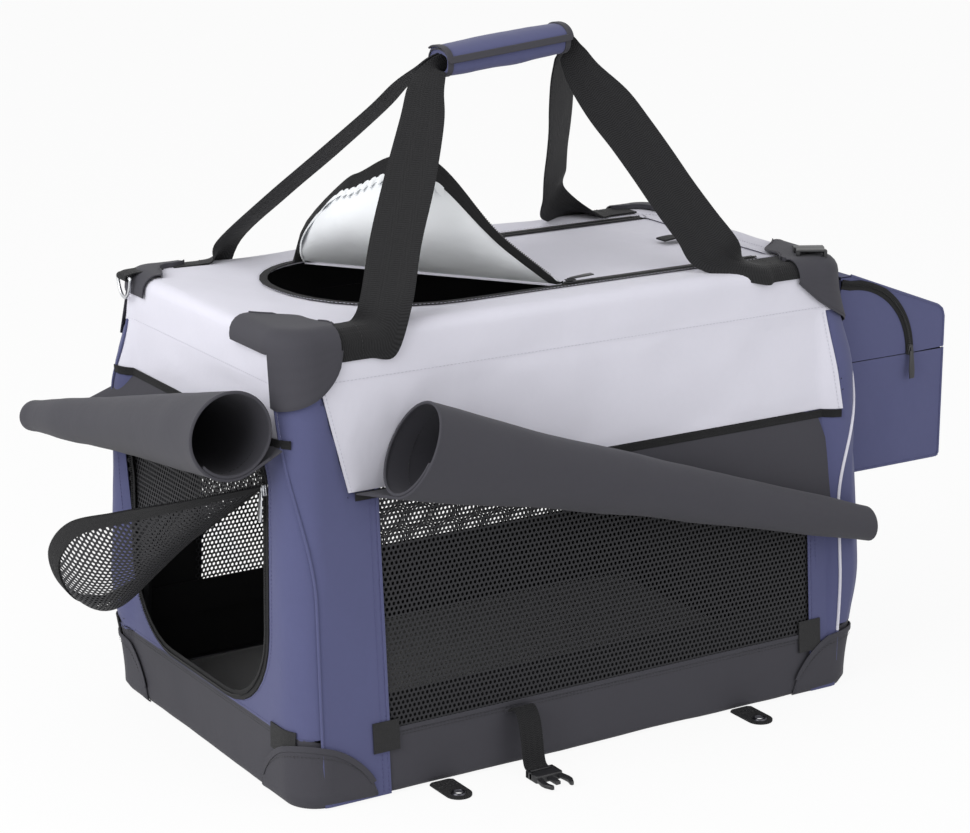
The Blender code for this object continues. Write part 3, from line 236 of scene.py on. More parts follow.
def handling_group():
    """Soft creases and uneven dye on the object's own coordinates."""
    tree, start, end = tree_shell(
        "Handled cloth", "ShaderNodeTree",
        [("Vector", "Vector", None), ("Crease Scale", "Float", 14.0), ("Fine Scale", "Float", 160.0)],
        [("Crease", "Float"), ("Tone", "Float")])
    broad, fine = (joined(tree, "ShaderNodeTexNoise", Vector=start["Vector"], Scale=start[scale],
                          Detail=detail, Roughness=rough, Distortion=bend).outputs[0]
                   for scale, detail, rough, bend in (("Crease Scale", 3.0, 0.5, 0.6),
                                                      ("Fine Scale", 4.0, 0.6, 0.0)))
    give(tree, end, Crease=maths(tree, "ADD", broad, maths(tree, "MULTIPLY", fine, 0.10)),
         Tone=maths(tree, "ADD", maths(tree, "MULTIPLY", broad, 0.5),
                    maths(tree, "MULTIPLY", fine, 0.5)))
    return tree


def ribbed_group():
    """Webbing ribs: rows across the strap and paired warps along it."""
    tree, start, end = tree_shell("Webbing ribs", "ShaderNodeTree",
                                  [("Vector", "Vector", None), ("Rows", "Float", 430.0),
                                   ("Warps", "Float", 300.0)],
                                  [("Height", "Float"), ("Mask", "Float")])
    split = joined(tree, "ShaderNodeSeparateXYZ", Vector=start["Vector"]).outputs
    across = maths(tree, "MULTIPLY", split["Y"], start["Warps"])
    along = maths(tree, "MULTIPLY", split["X"], start["Rows"])
    slant = maths(tree, "ADD", along, maths(tree, "PINGPONG", across, 1.0))
    wave = maths(tree, "ABSOLUTE", maths(tree, "SINE", maths(tree, "MULTIPLY", slant, math.pi)))
    warp = maths(tree, "ABSOLUTE", maths(tree, "SINE", maths(tree, "MULTIPLY", across, 2 * math.pi)))
    give(tree, end, Height=maths(tree, "ADD", wave, maths(tree, "MULTIPLY", warp, 0.4)), Mask=wave)
    return tree


def placed_group(tree, name, build, **values):
    """The outputs of a shared group placed in a material."""
    node = joined(tree, "ShaderNodeGroup",
                  node_tree=bpy.data.node_groups.get(name) or build())
    return give(tree, node, **values).outputs


# Finishes


def made_once(build):
    """Builds a finish the first time that its name is asked for."""
    @functools.wraps(build)
    def find(name, *values, **more):
        return bpy.data.materials.get(name) or build(name, *values, **more)
    return find


def new_finish(name):
    mat = bpy.data.materials.new(name)
    mat.use_nodes = True
    tree = mat.node_tree
    return mat, tree, tree.nodes["Principled BSDF"], tree.nodes.new("ShaderNodeTexCoord").outputs


def handled(tree, coords, **scales):
    return placed_group(tree, "Handled cloth", handling_group, Vector=coords["Object"], **scales)


def tinted(tree, colour, dark, light, factor):
    """The base colour shifted between a darker and a lighter version of itself."""
    mix = joined(tree, "ShaderNodeMix", data_type="RGBA", Factor=factor)
    mix.inputs["A"].default_value = (*(c * dark for c in colour), 1.0)
    mix.inputs["B"].default_value = (*(min(c * light, 1.0) for c in colour), 1.0)
    return mix.outputs["Result"]


def bumped(tree, *layers):
    """The normal under bumps laid one over another; each is (height, strength, distance)."""
    below = {}
    for height, strength, distance in layers:
        bump = joined(tree, "ShaderNodeBump", Strength=strength, Distance=distance, Height=height,
                      **below)
        below = {"Normal": bump.outputs[0]}
    return below["Normal"]


@made_once
def canvas(name, colour, roughness=0.82, crease=0.0016, scale=14.0, sheen=0.15, spread=0.10):
    """Coated woven canvas: weave on the cloth's map, creases and uneven dye on the object."""
    mat, tree, shader, coords = new_finish(name)
    weave = placed_group(tree, "Plain weave", plain_weave_group, Vector=coords["UV"],
                         Threads=1100.0)
    worn = handled(tree, coords, Crease_Scale=scale)
    tone = maths(tree, "ADD", maths(tree, "MULTIPLY", worn["Tone"], 0.8),
                 maths(tree, "MULTIPLY", weave["Mask"], 0.25))
    give(tree, shader, Base_Color=tinted(tree, colour, 1 - spread, 1 + spread, tone),
         Roughness=maths(tree, "MULTIPLY_ADD", worn["Tone"], 0.10, roughness - 0.05),
         Normal=bumped(tree, (worn["Crease"], 0.6, crease), (weave["Height"], 0.35, 0.00012)),
         Sheen_Weight=sheen, Sheen_Roughness=0.5, Specular_IOR_Level=CLOTH_GLOSS)
    return mat


@made_once
def webbing_finish(name, colour, rows=430.0):
    """Ribbed woven webbing."""
    mat, tree, shader, coords = new_finish(name)
    ribs = placed_group(tree, "Webbing ribs", ribbed_group, Vector=coords["UV"], Rows=rows)
    tone = maths(tree, "ADD", maths(tree, "MULTIPLY", ribs["Mask"], 0.75),
                 maths(tree, "MULTIPLY", handled(tree, coords)["Tone"], 0.4))
    give(tree, shader, Base_Color=tinted(tree, colour, 0.45, 1.55, tone), Roughness=0.68,
         Normal=bumped(tree, (ribs["Height"], 0.8, 0.0006)), Sheen_Weight=0.04,
         Specular_IOR_Level=CLOTH_GLOSS)
    return mat


@made_once
def moulded(name, colour, roughness=0.42):
    """Fine-grained moulded plastic."""
    mat, tree, shader, coords = new_finish(name)
    worn = handled(tree, coords, Crease_Scale=60.0, Fine_Scale=1400.0)
    give(tree, shader, Base_Color=tinted(tree, colour, 0.85, 1.25, worn["Tone"]),
         Normal=bumped(tree, (worn["Crease"], 0.25, 0.0001)),
         Roughness=maths(tree, "MULTIPLY_ADD", worn["Tone"], 0.15, roughness - 0.07))
    return mat


@made_once
def plated(name, colour=(0.60, 0.61, 0.63), roughness=0.28):
    """Plated steel with faint handling marks."""
    mat, tree, shader, coords = new_finish(name)
    worn = handled(tree, coords, Crease_Scale=90.0, Fine_Scale=900.0)
    give(tree, shader, Base_Color=tinted(tree, colour, 0.85, 1.1, worn["Tone"]), Metallic=1.0,
         Roughness=maths(tree, "MULTIPLY_ADD", worn["Tone"], 0.25, roughness - 0.12))
    return mat


@made_once
def hook_tape(name):
    """Hook-and-loop tape: a field of tiny bristles."""
    mat, tree, shader, coords = new_finish(name)
    cells = joined(tree, "ShaderNodeTexVoronoi", Vector=coords["Object"], Scale=1500.0).outputs[0]
    give(tree, shader, Base_Color=tinted(tree, colours().webbing, 0.5, 1.6, cells), Roughness=0.8,
         Normal=bumped(tree, (cells, 0.9, 0.0006)))
    return mat


@made_once
def fleece(name):
    """Short dense pile."""
    mat, tree, shader, coords = new_finish(name)
    pile = handled(tree, coords, Crease_Scale=40.0, Fine_Scale=1200.0)["Tone"]
    give(tree, shader, Base_Color=tinted(tree, (0.020, 0.020, 0.022), 0.6, 1.5, pile),
         Roughness=0.95, Sheen_Weight=0.3, Normal=bumped(tree, (pile, 0.9, 0.0012)))
    return mat


def lilac():
    return canvas("Lilac canvas", colours().lilac, 0.80, 0.0030, 11.0, spread=0.035)


def blue():
    return canvas("Blue canvas", colours().blue, 0.84, 0.0022, 13.0, spread=0.09)


def charcoal():
    return canvas("Charcoal canvas", colours().charcoal, 0.72, 0.0016, 12.0, 0.06, 0.12)


def lining():
    return canvas("Dark lining", colours().lining, 0.85, 0.0010, 20.0, 0.1, 0.15)


def silver():
    return canvas("Silver lining", colours().silver, 0.62, 0.0020, 22.0, 0.0, 0.03)


def black_tape():
    return webbing_finish("Black binding", colours().webbing, 900.0)


def black_webbing():
    return webbing_finish("Black webbing", colours().webbing)


def net_thread():
    return canvas("Net thread", colours().net, 0.55, 0.0003, 300.0, 0.05, 0.15)


def plastic():
    return moulded("Black plastic", (0.016, 0.016, 0.018))


# Places on the shell


def lerp(a, b, t):
    return a + (b - a) * t


def clamp(value, low=0.0, high=1.0):
    return min(max(value, low), high)


def eased(t):
    """Smoothly from 0 to 1 as t goes from 0 to 1."""
    t = clamp(t)
    return t * t * (3 - 2 * t)


def spread(low, high, count):
    """count + 1 even steps from low to high."""
    return [lerp(low, high, k / count) for k in range(count + 1)]


def half_length(z):
    return lerp(BASE_HALF[0], TOP_HALF[0], z / HEIGHT)


def half_width(z):
    return lerp(BASE_HALF[1], TOP_HALF[1], z / HEIGHT)


def stuffed_out(sx, sy, f, z):
    """How far a corner of cloth stands out at mid height; the near door corner hangs flat."""
    if (sx, sy) == (-1, -1):
        return 0.0
    rise = eased(z / 0.14) * (1 - 0.8 * eased((z - 0.34) / 0.10))
    return CORNER_SWELL * rise * max(math.sin(math.pi * clamp(f)), 0.0)


def corner_spot(sx, sy, f, z, depth):
    """On a round corner; f runs from 0 on the long side to 1 on the end."""
    radius = CORNER_RADIUS - depth + stuffed_out(sx, sy, f, z)
    turn = f * math.pi / 2
    return Vector((sx * (half_length(z) - CORNER_RADIUS + radius * math.sin(turn)),
                   sy * (half_width(z) - CORNER_RADIUS + radius * math.cos(turn)), z))


def long_spot(sy, x, z, depth):
    """On a long side at x, going on round the corners past its flat part."""
    flat = half_length(z) - CORNER_RADIUS
    if abs(x) <= flat:
        return Vector((x, sy * (half_width(z) - depth), z))
    return corner_spot(1 if x > 0 else -1, sy, (abs(x) - flat) / CORNER_ARC, z, depth)


def end_spot(sx, y, z, depth):
    """On an end wall at y, going on round the corners past its flat part."""
    flat = half_width(z) - CORNER_RADIUS
    if abs(y) <= flat:
        return Vector((sx * (half_length(z) - depth), y, z))
    return corner_spot(sx, 1 if y > 0 else -1, 1 - (abs(y) - flat) / CORNER_ARC, z, depth)


def wrapped_spot(sx, sy, run, long_flat, z, depth):
    """On a corner, run past the start of its long_flat stretch of the long side."""
    if run <= long_flat + CORNER_ARC:
        return long_spot(sy, sx * (half_length(z) - CORNER_RADIUS - long_flat + run), z, depth)
    y = half_width(z) - CORNER_RADIUS - (run - long_flat - CORNER_ARC)
    return end_spot(sx, sy * y, z, depth)


def seam_turn(z):
    """Where the piped seam lies on a round corner, from 0 on the side to 1 on the end."""
    return lerp(0.16, 0.78, eased((z - 0.20) / (TOP_SEAM - 0.20)))


def seam_on_long(z):
    return half_length(z) - CORNER_RADIUS + seam_turn(z) * CORNER_RADIUS * math.pi / 2


def seam_on_end(z):
    return half_width(z) - CORNER_RADIUS + (1 - seam_turn(z)) * CORNER_RADIUS * math.pi / 2


def rim_profile(lift, u):
    """Depth and height at u: below 0 down the wall, above 0 in over the roof."""
    quarter = TOP_EDGE * math.pi / 2
    centre = HEIGHT - TOP_EDGE
    if u <= 0:
        return -lift, centre + u
    if u >= quarter:
        return TOP_EDGE + (u - quarter), HEIGHT + lift
    radius = TOP_EDGE + lift
    return (TOP_EDGE - radius * math.cos(u / TOP_EDGE),
            centre + radius * math.sin(u / TOP_EDGE))


def grown_box(box, by):
    left, right, low, high = box
    return left - by, right + by, low - by, high + by


def box_corners(box, radii):
    """Each corner's place, its way inward, the angle that its arc starts at, and its radius."""
    left, right, low, high = box
    return zip((left, right, right, left), (low, low, high, high), (1, -1, -1, 1), (1, 1, -1, -1),
               (180, 270, 0, 90), radii)


def rounded_box(box, radii, long_steps, short_steps, arc_steps=8):
    """Points round a rectangle (left, right, low, high) with round corners, evenly counted."""
    arcs = []
    for x, y, sx, sy, start, radius in box_corners(box, radii):
        turns = [math.radians(start + 90 * k / arc_steps) for k in range(arc_steps + 1)]
        arcs.append([(x + sx * radius + radius * math.cos(turn),
                      y + sy * radius + radius * math.sin(turn)) for turn in turns])
    points = []
    for k, arc in enumerate(arcs):
        follow = arcs[(k + 1) % 4][0]
        steps = long_steps if k % 2 == 0 else short_steps
        points += arc + [(lerp(arc[-1][0], follow[0], n / steps),
                          lerp(arc[-1][1], follow[1], n / steps)) for n in range(1, steps)]
    return points


def in_box(u, v, box, radii):
    """Whether (u, v) lies inside a rectangle with round corners."""
    left, right, low, high = box
    if not (left < u < right and low < v < high):
        return False
    for cu, cv, su, sv, _, r in box_corners(box, radii):
        du, dv = (cu + su * r - u) * su, (cv + sv * r - v) * sv
        if du > 0 and dv > 0 and math.hypot(du, dv) > r:
            return False
    return True


def ring_stations(long_steps=72, short_steps=44, arc_steps=8):
    """Stations all round the shell, in step with rounded_box.

    Each is (side, sign, share, place): place maps (z, depth) to a point, and share runs along the
    flat part of the side, or round the corner from 0 on the long side to 1 on the end.
    """
    def corner(sx, sy, f):
        return "corner", (sx, sy), f, lambda z, d: corner_spot(sx, sy, f, z, d)

    def flat(side, sign, t):
        if side == "long":
            return side, sign, t, lambda z, d: long_spot(
                sign, t * (half_length(z) - CORNER_RADIUS), z, d)
        return side, sign, t, lambda z, d: end_spot(
            sign, t * (half_width(z) - CORNER_RADIUS), z, d)

    made = []
    for sx, sy, side, sign, first in ((-1, -1, "long", -1, -1), (1, -1, "end", 1, -1),
                                      (1, 1, "long", 1, 1), (-1, 1, "end", -1, 1)):
        turns = [k / arc_steps for k in range(arc_steps + 1)]
        made += [corner(sx, sy, 1 - f if side == "long" else f) for f in turns]
        steps = long_steps if side == "long" else short_steps
        made += [flat(side, sign, lerp(first, -first, k / steps)) for k in range(1, steps)]
    return made


def on_long(sy, spots, lift=0.0):
    """(x, z) spots on a long side, standing lift off it."""
    return [long_spot(sy, x, z, -lift) for x, z in spots]


def on_end(sx, spots, lift=0.0):
    """(y, z) spots on an end, standing lift off it."""
    return [end_spot(sx, y, z, -lift) for y, z in spots]


def straight(a, b, count):
    """Evenly spaced (u, v) pairs from a to b."""
    return [(lerp(a[0], b[0], k / count), lerp(a[1], b[1], k / count)) for k in range(count + 1)]


def outward_at(p):
    """Roughly away from the crate's upright middle line."""
    x = max(abs(p.x) - (half_length(p.z) - CORNER_RADIUS), 0.0) * (1 if p.x > 0 else -1)
    y = max(abs(p.y) - (half_width(p.z) - CORNER_RADIUS), 0.0) * (1 if p.y > 0 else -1)
    out = Vector((x, y, 0.0))
    return out.normalized() if out.length > 1e-6 else UP


# Lines through points


def through(keys, t):
    """A smooth value at t through (t, value) keys; the values are numbers or points."""
    spots = [(k, Vector(v) if isinstance(v, tuple) else v) for k, v in keys]
    last = len(spots) - 1
    n = 0
    while n < last - 1 and spots[n + 1][0] < t:
        n += 1

    def slope(k):
        a, b = spots[max(k - 1, 0)], spots[min(k + 1, last)]
        return (b[1] - a[1]) * (1.0 / (b[0] - a[0]))

    (t0, a), (t1, b) = spots[n], spots[n + 1]
    span = t1 - t0
    u = clamp((t - t0) / span)
    return (a * (2 * u ** 3 - 3 * u ** 2 + 1) + slope(n) * span * (u ** 3 - 2 * u ** 2 + u)
            + b * (3 * u ** 2 - 2 * u ** 3) + slope(n + 1) * span * (u ** 3 - u ** 2))


def eased_curve(keys, steps=7, closed=False):
    """Points on a Catmull-Rom curve through every key."""
    made = []
    count = len(keys)
    for n in range(count if closed else count - 1):
        p, q, r, s = (keys[(n + k) % count if closed else min(max(n + k, 0), count - 1)]
                      for k in (-1, 0, 1, 2))
        for k in range(steps):
            t = k / steps
            made.append(0.5 * (q * 2 + (r - p) * t + (p * 2 - q * 5 + r * 4 - s) * t * t
                               + (q * 3 - p - r * 3 + s) * t ** 3))
    return made + [keys[0] if closed else keys[-1]]


def runs_of(points):
    """How far along a line each of its points lies."""
    made = [0.0]
    for a, b in zip(points, points[1:]):
        made.append(made[-1] + math.dist(a, b))
    return made


def evened(points, count, steps):
    """count points at even steps along straight runs."""
    runs = runs_of(points)
    made, at = [], 0
    for k in range(count):
        want = runs[-1] * k / steps
        while at < len(points) - 2 and runs[at + 1] < want:
            at += 1
        span = runs[at + 1] - runs[at]
        made.append(points[at].lerp(points[at + 1], (want - runs[at]) / span if span else 0.0))
    return made


def smooth_path(points, count, closed=False):
    """Evenly spaced points on a smooth curve through the given ones."""
    dense = eased_curve([Vector(p) for p in points], 16, closed)
    return evened(dense, count, count if closed else count - 1)


# Making meshes


def linked(name, mesh):
    obj = bpy.data.objects.new(name, mesh)
    bpy.context.scene.collection.objects.link(obj)
    return obj


def new_piece(name, verts, faces, mats, marks=None, uvs=None, smooth=40.0):
    """A mesh object at the origin; marks gives each face's material, uvs each vertex's map."""
    mesh = bpy.data.meshes.new(name)
    mesh.from_pydata([tuple(v) for v in verts], [], faces)
    for mat in mats:
        mesh.materials.append(mat)
    if marks:
        mesh.polygons.foreach_set("material_index", marks)
    if uvs:
        layer = mesh.uv_layers.new(name="UVMap")
        layer.data.foreach_set("uv", [c for loop in mesh.loops for c in uvs[loop.vertex_index]])
    obj = linked(name, mesh)
    mesh.shade_smooth()
    mesh.set_sharp_from_angle(angle=math.radians(smooth))
    mesh.update()
    return obj


def grid_normals(grid, closed):
    """A normal for each point of a grid of points."""
    rows, cols = len(grid), len(grid[0])
    made = []
    for r in range(rows):
        line = []
        for c in range(cols):
            if closed:
                left, right = grid[r][(c - 1) % cols], grid[r][(c + 1) % cols]
            else:
                left, right = grid[r][max(c - 1, 0)], grid[r][min(c + 1, cols - 1)]
            below, above = grid[max(r - 1, 0)][c], grid[min(r + 1, rows - 1)][c]
            normal = (right - left).cross(above - below)
            line.append(normal.normalized() if normal.length > 1e-12 else None)
        made.append(line)
    for r in range(rows):
        for c in range(cols):
            if made[r][c] is None:
                near = [made[i][c] for i in range(rows) if made[i][c] is not None]
                made[r][c] = near[0] if near else UP
    return made


def ruffle(point, size, seed):
    """Smooth, seeded unevenness from -1 to 1."""
    spot = point / size + Vector((seed * 3.7, seed * 1.3, seed * 2.1))
    return noise.noise(spot) * 0.75 + noise.noise(spot * 2.3) * 0.25


def cloth(name, grid, mats, thickness=None, closed=False, flip=False, puff=0.0, size=0.06, seed=1,
          hem=3, bulge=None, span=None):
    """A sheet of cloth over a grid of outer points, with thickness, a map and soft unevenness.

    mats is the outer finish, or the outer and the inner one. puff is how far the cloth stands in
    and out, eased to nothing over hem cells from its edges. bulge(r) adds a set push outward.
    span keeps only the rows from its first to its last.
    """
    thickness = thickness or sizes().canvas
    rows, cols = len(grid), len(grid[0])
    normals = grid_normals(grid, closed)
    sign = -1.0 if flip else 1.0
    run = runs_of(grid[rows // 2])
    climb = runs_of([row[cols // 2] for row in grid])
    outer, inner, uvs = [], [], []
    for r in range(rows):
        for c in range(cols):
            normal = normals[r][c] * sign
            edge = min(r, rows - 1 - r) if closed else min(r, rows - 1 - r, c, cols - 1 - c)
            ease = eased(edge / hem) if hem else 1.0
            push = puff * ease * ruffle(grid[r][c], size, seed) + (bulge(r) if bulge else 0.0)
            spot = grid[r][c] + normal * push
            outer.append(spot)
            inner.append(spot - normal * thickness)
            uvs.append((run[c], climb[r]))
    if span:
        kept = slice(span[0] * cols, (span[1] + 1) * cols)
        outer, inner, uvs = outer[kept], inner[kept], uvs[kept]
        rows = span[1] - span[0] + 1
    faces, marks = [], []
    back = len(outer)

    def add(quad, turned, mark):
        faces.append(quad[::-1] if turned else quad)
        marks.append(mark)

    for r in range(rows - 1):
        for c in range(cols if closed else cols - 1):
            d = (c + 1) % cols
            quad = [r * cols + c, r * cols + d, (r + 1) * cols + d, (r + 1) * cols + c]
            add(quad, flip, 0)
            add([back + k for k in quad], not flip, len(mats) - 1)
    rim = []
    for c in range(cols if closed else cols - 1):
        d = (c + 1) % cols
        rim += [(c, d), ((rows - 1) * cols + d, (rows - 1) * cols + c)]
    for r in range(0 if closed else rows - 1):
        rim += [((r + 1) * cols, r * cols), (r * cols + cols - 1, (r + 1) * cols + cols - 1)]
    for a, b in rim:
        add([b, a, back + a, back + b], flip, 0)
    return new_piece(name, outer + inner, faces, mats, marks, uvs * 2)


def sweep(name, stations, section, finish, closed=False, turn_map=False):
    """A section of (across, up) points carried along stations of (point, across, up)."""
    verts, uvs, faces = [], [], []
    count, rings = len(section), len(stations)
    rims = runs_of(section)
    runs = runs_of([Vector(s[0]) for s in stations])
    for run, (point, across, up) in zip(runs, stations):
        for n, (a, b) in enumerate(section):
            verts.append(Vector(point) + across * a + up * b)
            uvs.append((run, a if turn_map else rims[n]))
    for r in range(rings if closed else rings - 1):
        s = (r + 1) % rings
        for c in range(count):
            d = (c + 1) % count
            faces.append([r * count + c, r * count + d, s * count + d, s * count + c])
    if not closed:
        faces.append(list(range(count))[::-1])
        faces.append([(rings - 1) * count + k for k in range(count)])
    return mended(new_piece(name, verts, faces, [finish], None, uvs))


def mended(obj):
    """Turns every face outwards."""
    bm = bmesh.new()
    bm.from_mesh(obj.data)
    bmesh.ops.recalc_face_normals(bm, faces=bm.faces)
    bm.to_mesh(obj.data)
    bm.free()
    obj.data.update()
    return obj


def around(count):
    """Cosine and sine of even turns round a circle."""
    return [(math.cos(2 * math.pi * k / count), math.sin(2 * math.pi * k / count))
            for k in range(count)]


def round_section(radius, sides=8):
    return [(radius * cu, radius * cv) for cu, cv in around(sides)]


def tape_section(half, thickness, edge=0.35):
    """A flat tape with softened edges."""
    t = thickness / 2
    e = thickness * edge
    return [(-half, -t + e), (-half + e, -t), (half - e, -t), (half, -t + e),
            (half, t - e), (half - e, t), (-half + e, t), (-half, t - e)]


def stations_along(points, up_of=None, closed=False):
    """Frames along points: up_of(point) gives the direction that stands off the surface."""
    points = [Vector(p) for p in points]
    made = []
    count = len(points)
    up = None
    for k, p in enumerate(points):
        if closed:
            ahead, behind = points[(k + 1) % count], points[(k - 1) % count]
        else:
            ahead, behind = points[min(k + 1, count - 1)], points[max(k - 1, 0)]
        along = (ahead - behind).normalized()
        if up_of:
            up = Vector(up_of(p))
        elif up is None:
            up = along.orthogonal()
        up = (up - along * up.dot(along)).normalized()
        made.append((p, along.cross(up).normalized(), up))
    return made


def piping(name, points, finish, radius=None, closed=False):
    """A round cord sewn into a seam."""
    return sweep(name, stations_along(points, None, closed),
                 round_section(radius or sizes().piping), finish, closed)


def band(name, points, half, finish, thickness=0.0011, up_of=outward_at, closed=False):
    """A flat tape along points, lying against the surface that they stand on."""
    return sweep(name, stations_along(points, up_of, closed), tape_section(half, thickness),
                 finish, closed, turn_map=True)


def strap_along(name, points, across, half, thickness, flip=1.0):
    """A strap of webbing along points, as wide all along as across says."""
    last = len(points) - 1
    stations = []
    for k, p in enumerate(points):
        along = (points[min(k + 1, last)] - points[max(k - 1, 0)]).normalized()
        stations.append((p, across, along.cross(across) * flip))
    return sweep(name, stations, tape_section(half, thickness), black_webbing(), turn_map=True)


def rounded_plate(name, outline, low, high, finish, round_off=0.0006):
    """A flat outline raised between two heights, with softened edges."""
    mesh = bpy.data.meshes.new(name)
    bm = bmesh.new()
    face = bm.faces.new([bm.verts.new((x, y, low)) for x, y in outline])
    swept = bmesh.ops.extrude_face_region(bm, geom=[face])
    moved = [v for v in swept["geom"] if isinstance(v, bmesh.types.BMVert)]
    bmesh.ops.translate(bm, vec=(0, 0, high - low), verts=moved)
    flat = [e for e in bm.edges if abs(e.verts[0].co.z - e.verts[1].co.z) < 1e-7]
    bmesh.ops.bevel(bm, geom=flat, offset=round_off, segments=2, profile=0.5, affect="EDGES")
    bmesh.ops.recalc_face_normals(bm, faces=bm.faces)
    bm.to_mesh(mesh)
    bm.free()
    mesh.materials.append(finish)
    obj = linked(name, mesh)
    mesh.shade_smooth()
    mesh.set_sharp_from_angle(angle=math.radians(50))
    return obj


def merged(name, parts):
    """Several finished meshes joined into one object."""
    with bpy.context.temp_override(active_object=parts[0], selected_editable_objects=parts,
                                   object=parts[0], selected_objects=parts):
        bpy.ops.object.join()
    parts[0].name = name
    parts[0].data.name = name
    return parts[0]


# Riding on bodies, cloth sizes and standing in for the frame's nodes


def on_body(piece, *nodes, body="base", slot=None):
    """On its body, and standing in for the frame's nodes."""
    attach(piece, body)
    slot or SLOTS[next(mat.name for mat in piece.data.materials if mat)]
    if nodes:
        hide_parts(*nodes)
    return piece


def on_wall(piece, *nodes, **place):
    """On its body, with a mesh of its own."""
    on_body(piece, *nodes, **place)
    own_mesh(piece)
    return piece


def grid_area(grid, closed=False):
    total = 0.0
    count = len(grid[0])
    for low, high in zip(grid, grid[1:]):
        for c in range(count if closed else count - 1):
            d = (c + 1) % count
            a, b, e, f = low[c], low[d], high[d], high[c]
            total += ((b - a).cross(e - a).length + (e - a).cross(f - a).length) / 2
    return total


def flat_size(grid, closed=False):
    """The cut size of a cloth over a grid: its mean row and column lengths."""
    rows = [runs_of(row + row[:1] if closed else row)[-1] for row in grid]
    cols = [runs_of([row[c] for row in grid])[-1]
            for c in range(0, len(grid[0]), max(len(grid[0]) // 12, 1))]
    return sum(rows) / len(rows), sum(cols) / len(cols)


def cut_cloth(piece, grid, held, *rests_on, closed=False):
    """Works out the cut size of a piece's grid and gives the piece back as it was."""
    wide, long = flat_size(grid, closed)
    share = grid_area(grid, closed) / (wide * long)
    None if 0.97 < share < 1.03 else wide * long * clamp(share, 0.31)
    return piece


def tailored(name, grid, mats, *nodes, hold=on_wall, body="base", slot=None, held="stretched",
             on=("Tray",), closed=False, **shape):
    """A cloth over a grid, on its body."""
    piece = hold(cloth(name, grid, mats, closed=closed, **shape), *nodes, body=body, slot=slot)
    return cut_cloth(piece, grid, held, *on, closed=closed)


# Geometry node trees for what repeats


def grower(name, inputs, build):
    """A geometry tree that ends in Realize Instances and Set Material; build makes the rest."""
    found = bpy.data.node_groups.get(name)
    if found:
        return found
    tree, start, end = tree_shell(
        name, "GeometryNodeTree",
        [("Geometry", "Geometry", None), *((label, "Float", size) for label, size in inputs),
         ("Material", "Material", None)], [("Geometry", "Geometry")])
    real = joined(tree, "GeometryNodeRealizeInstances", Geometry=build(tree, start))
    paint = joined(tree, "GeometryNodeSetMaterial", Geometry=real.outputs[0],
                   Material=start["Material"])
    give(tree, end, Geometry=paint.outputs[0])
    return tree


def net_of_cells(tree, start):
    """Each six-sided cell of a sheet gets a hole, then the sheet gets a thickness."""
    cells = joined(tree, "GeometryNodeExtrudeMesh", mode="FACES", Offset_Scale=0.0, Individual=True,
                   Mesh=start["Geometry"]).outputs
    shrunk = joined(tree, "GeometryNodeScaleElements", Geometry=cells["Mesh"],
                    Selection=cells["Top"], Scale=start["Hole"])
    cut = joined(tree, "GeometryNodeDeleteGeometry", domain="FACE", Geometry=shrunk.outputs[0],
                 Selection=cells["Top"]).outputs[0]
    raised = joined(tree, "GeometryNodeExtrudeMesh", mode="FACES", Individual=False, Mesh=cut,
                    Offset_Scale=start["Thread"])
    both = joined(tree, "GeometryNodeJoinGeometry",
                  Geometry=joined(tree, "GeometryNodeFlipFaces", Mesh=cut).outputs[0])
    give(tree, both, Geometry=raised.outputs["Mesh"])
    return joined(tree, "GeometryNodeMergeByDistance", Distance=0.000001,
                  Geometry=both.outputs[0]).outputs[0]


def beads_along(tree, start, axis):
    """Small round-ended beads along seams, lying along them on X or across them on Y."""
    line = joined(tree, "GeometryNodeMeshToCurve", Mesh=start["Geometry"]).outputs[0]
    spaced = joined(tree, "GeometryNodeResampleCurve", mode="LENGTH", Curve=line,
                    Length=start["Pitch"])
    bead = joined(tree, "GeometryNodeMeshUVSphere", Segments=6, Rings=4, Radius=0.5)
    turn = joined(tree, "FunctionNodeAlignRotationToVector", axis=axis,
                  Vector=tree.nodes.new("GeometryNodeInputTangent").outputs[0])
    shape = joined(tree, "ShaderNodeCombineXYZ", X=start["Length"], Y=start["Width"],
                   Z=start["Width"])
    return joined(tree, "GeometryNodeInstanceOnPoints", Points=spaced.outputs[0],
                  Instance=bead.outputs[0], Rotation=turn.outputs[0],
                  Scale=shape.outputs[0]).outputs[0]


def grown(name, verts, edges, faces, tree, finish, **values):
    """Runs a tree on a mesh and keeps the result as a plain mesh object."""
    mesh = bpy.data.meshes.new(name)
    mesh.from_pydata([tuple(v) for v in verts], edges, faces)
    obj = linked(name, mesh)
    step = obj.modifiers.new("grow", "NODES")
    step.node_group = tree
    sockets = {item.name: item.identifier for item in tree.interface.items_tree
               if item.item_type == "SOCKET" and item.in_out == "INPUT"}
    for key, value in {**values, "Material": finish}.items():
        step[sockets[key]] = value
    bpy.context.view_layer.update()
    graph = bpy.context.evaluated_depsgraph_get()
    plain = bpy.data.meshes.new_from_object(obj.evaluated_get(graph))
    obj.modifiers.clear()
    obj.data = plain
    plain.name = name
    bpy.data.meshes.remove(mesh)
    return obj


def beaded(name, paths, finish, tree_name, axis, pitch, length, width):
    verts, edges = [], []
    for path in paths:
        first = len(verts)
        verts += path
        edges += [(first + k, first + k + 1) for k in range(len(path) - 1)]
    tree = grower(tree_name, (("Pitch", 0.004), ("Length", 0.003), ("Width", 0.0006)),
                  lambda tree, start: beads_along(tree, start, axis))
    return grown(name, verts, edges, [], tree, finish, Pitch=pitch, Length=length, Width=width)


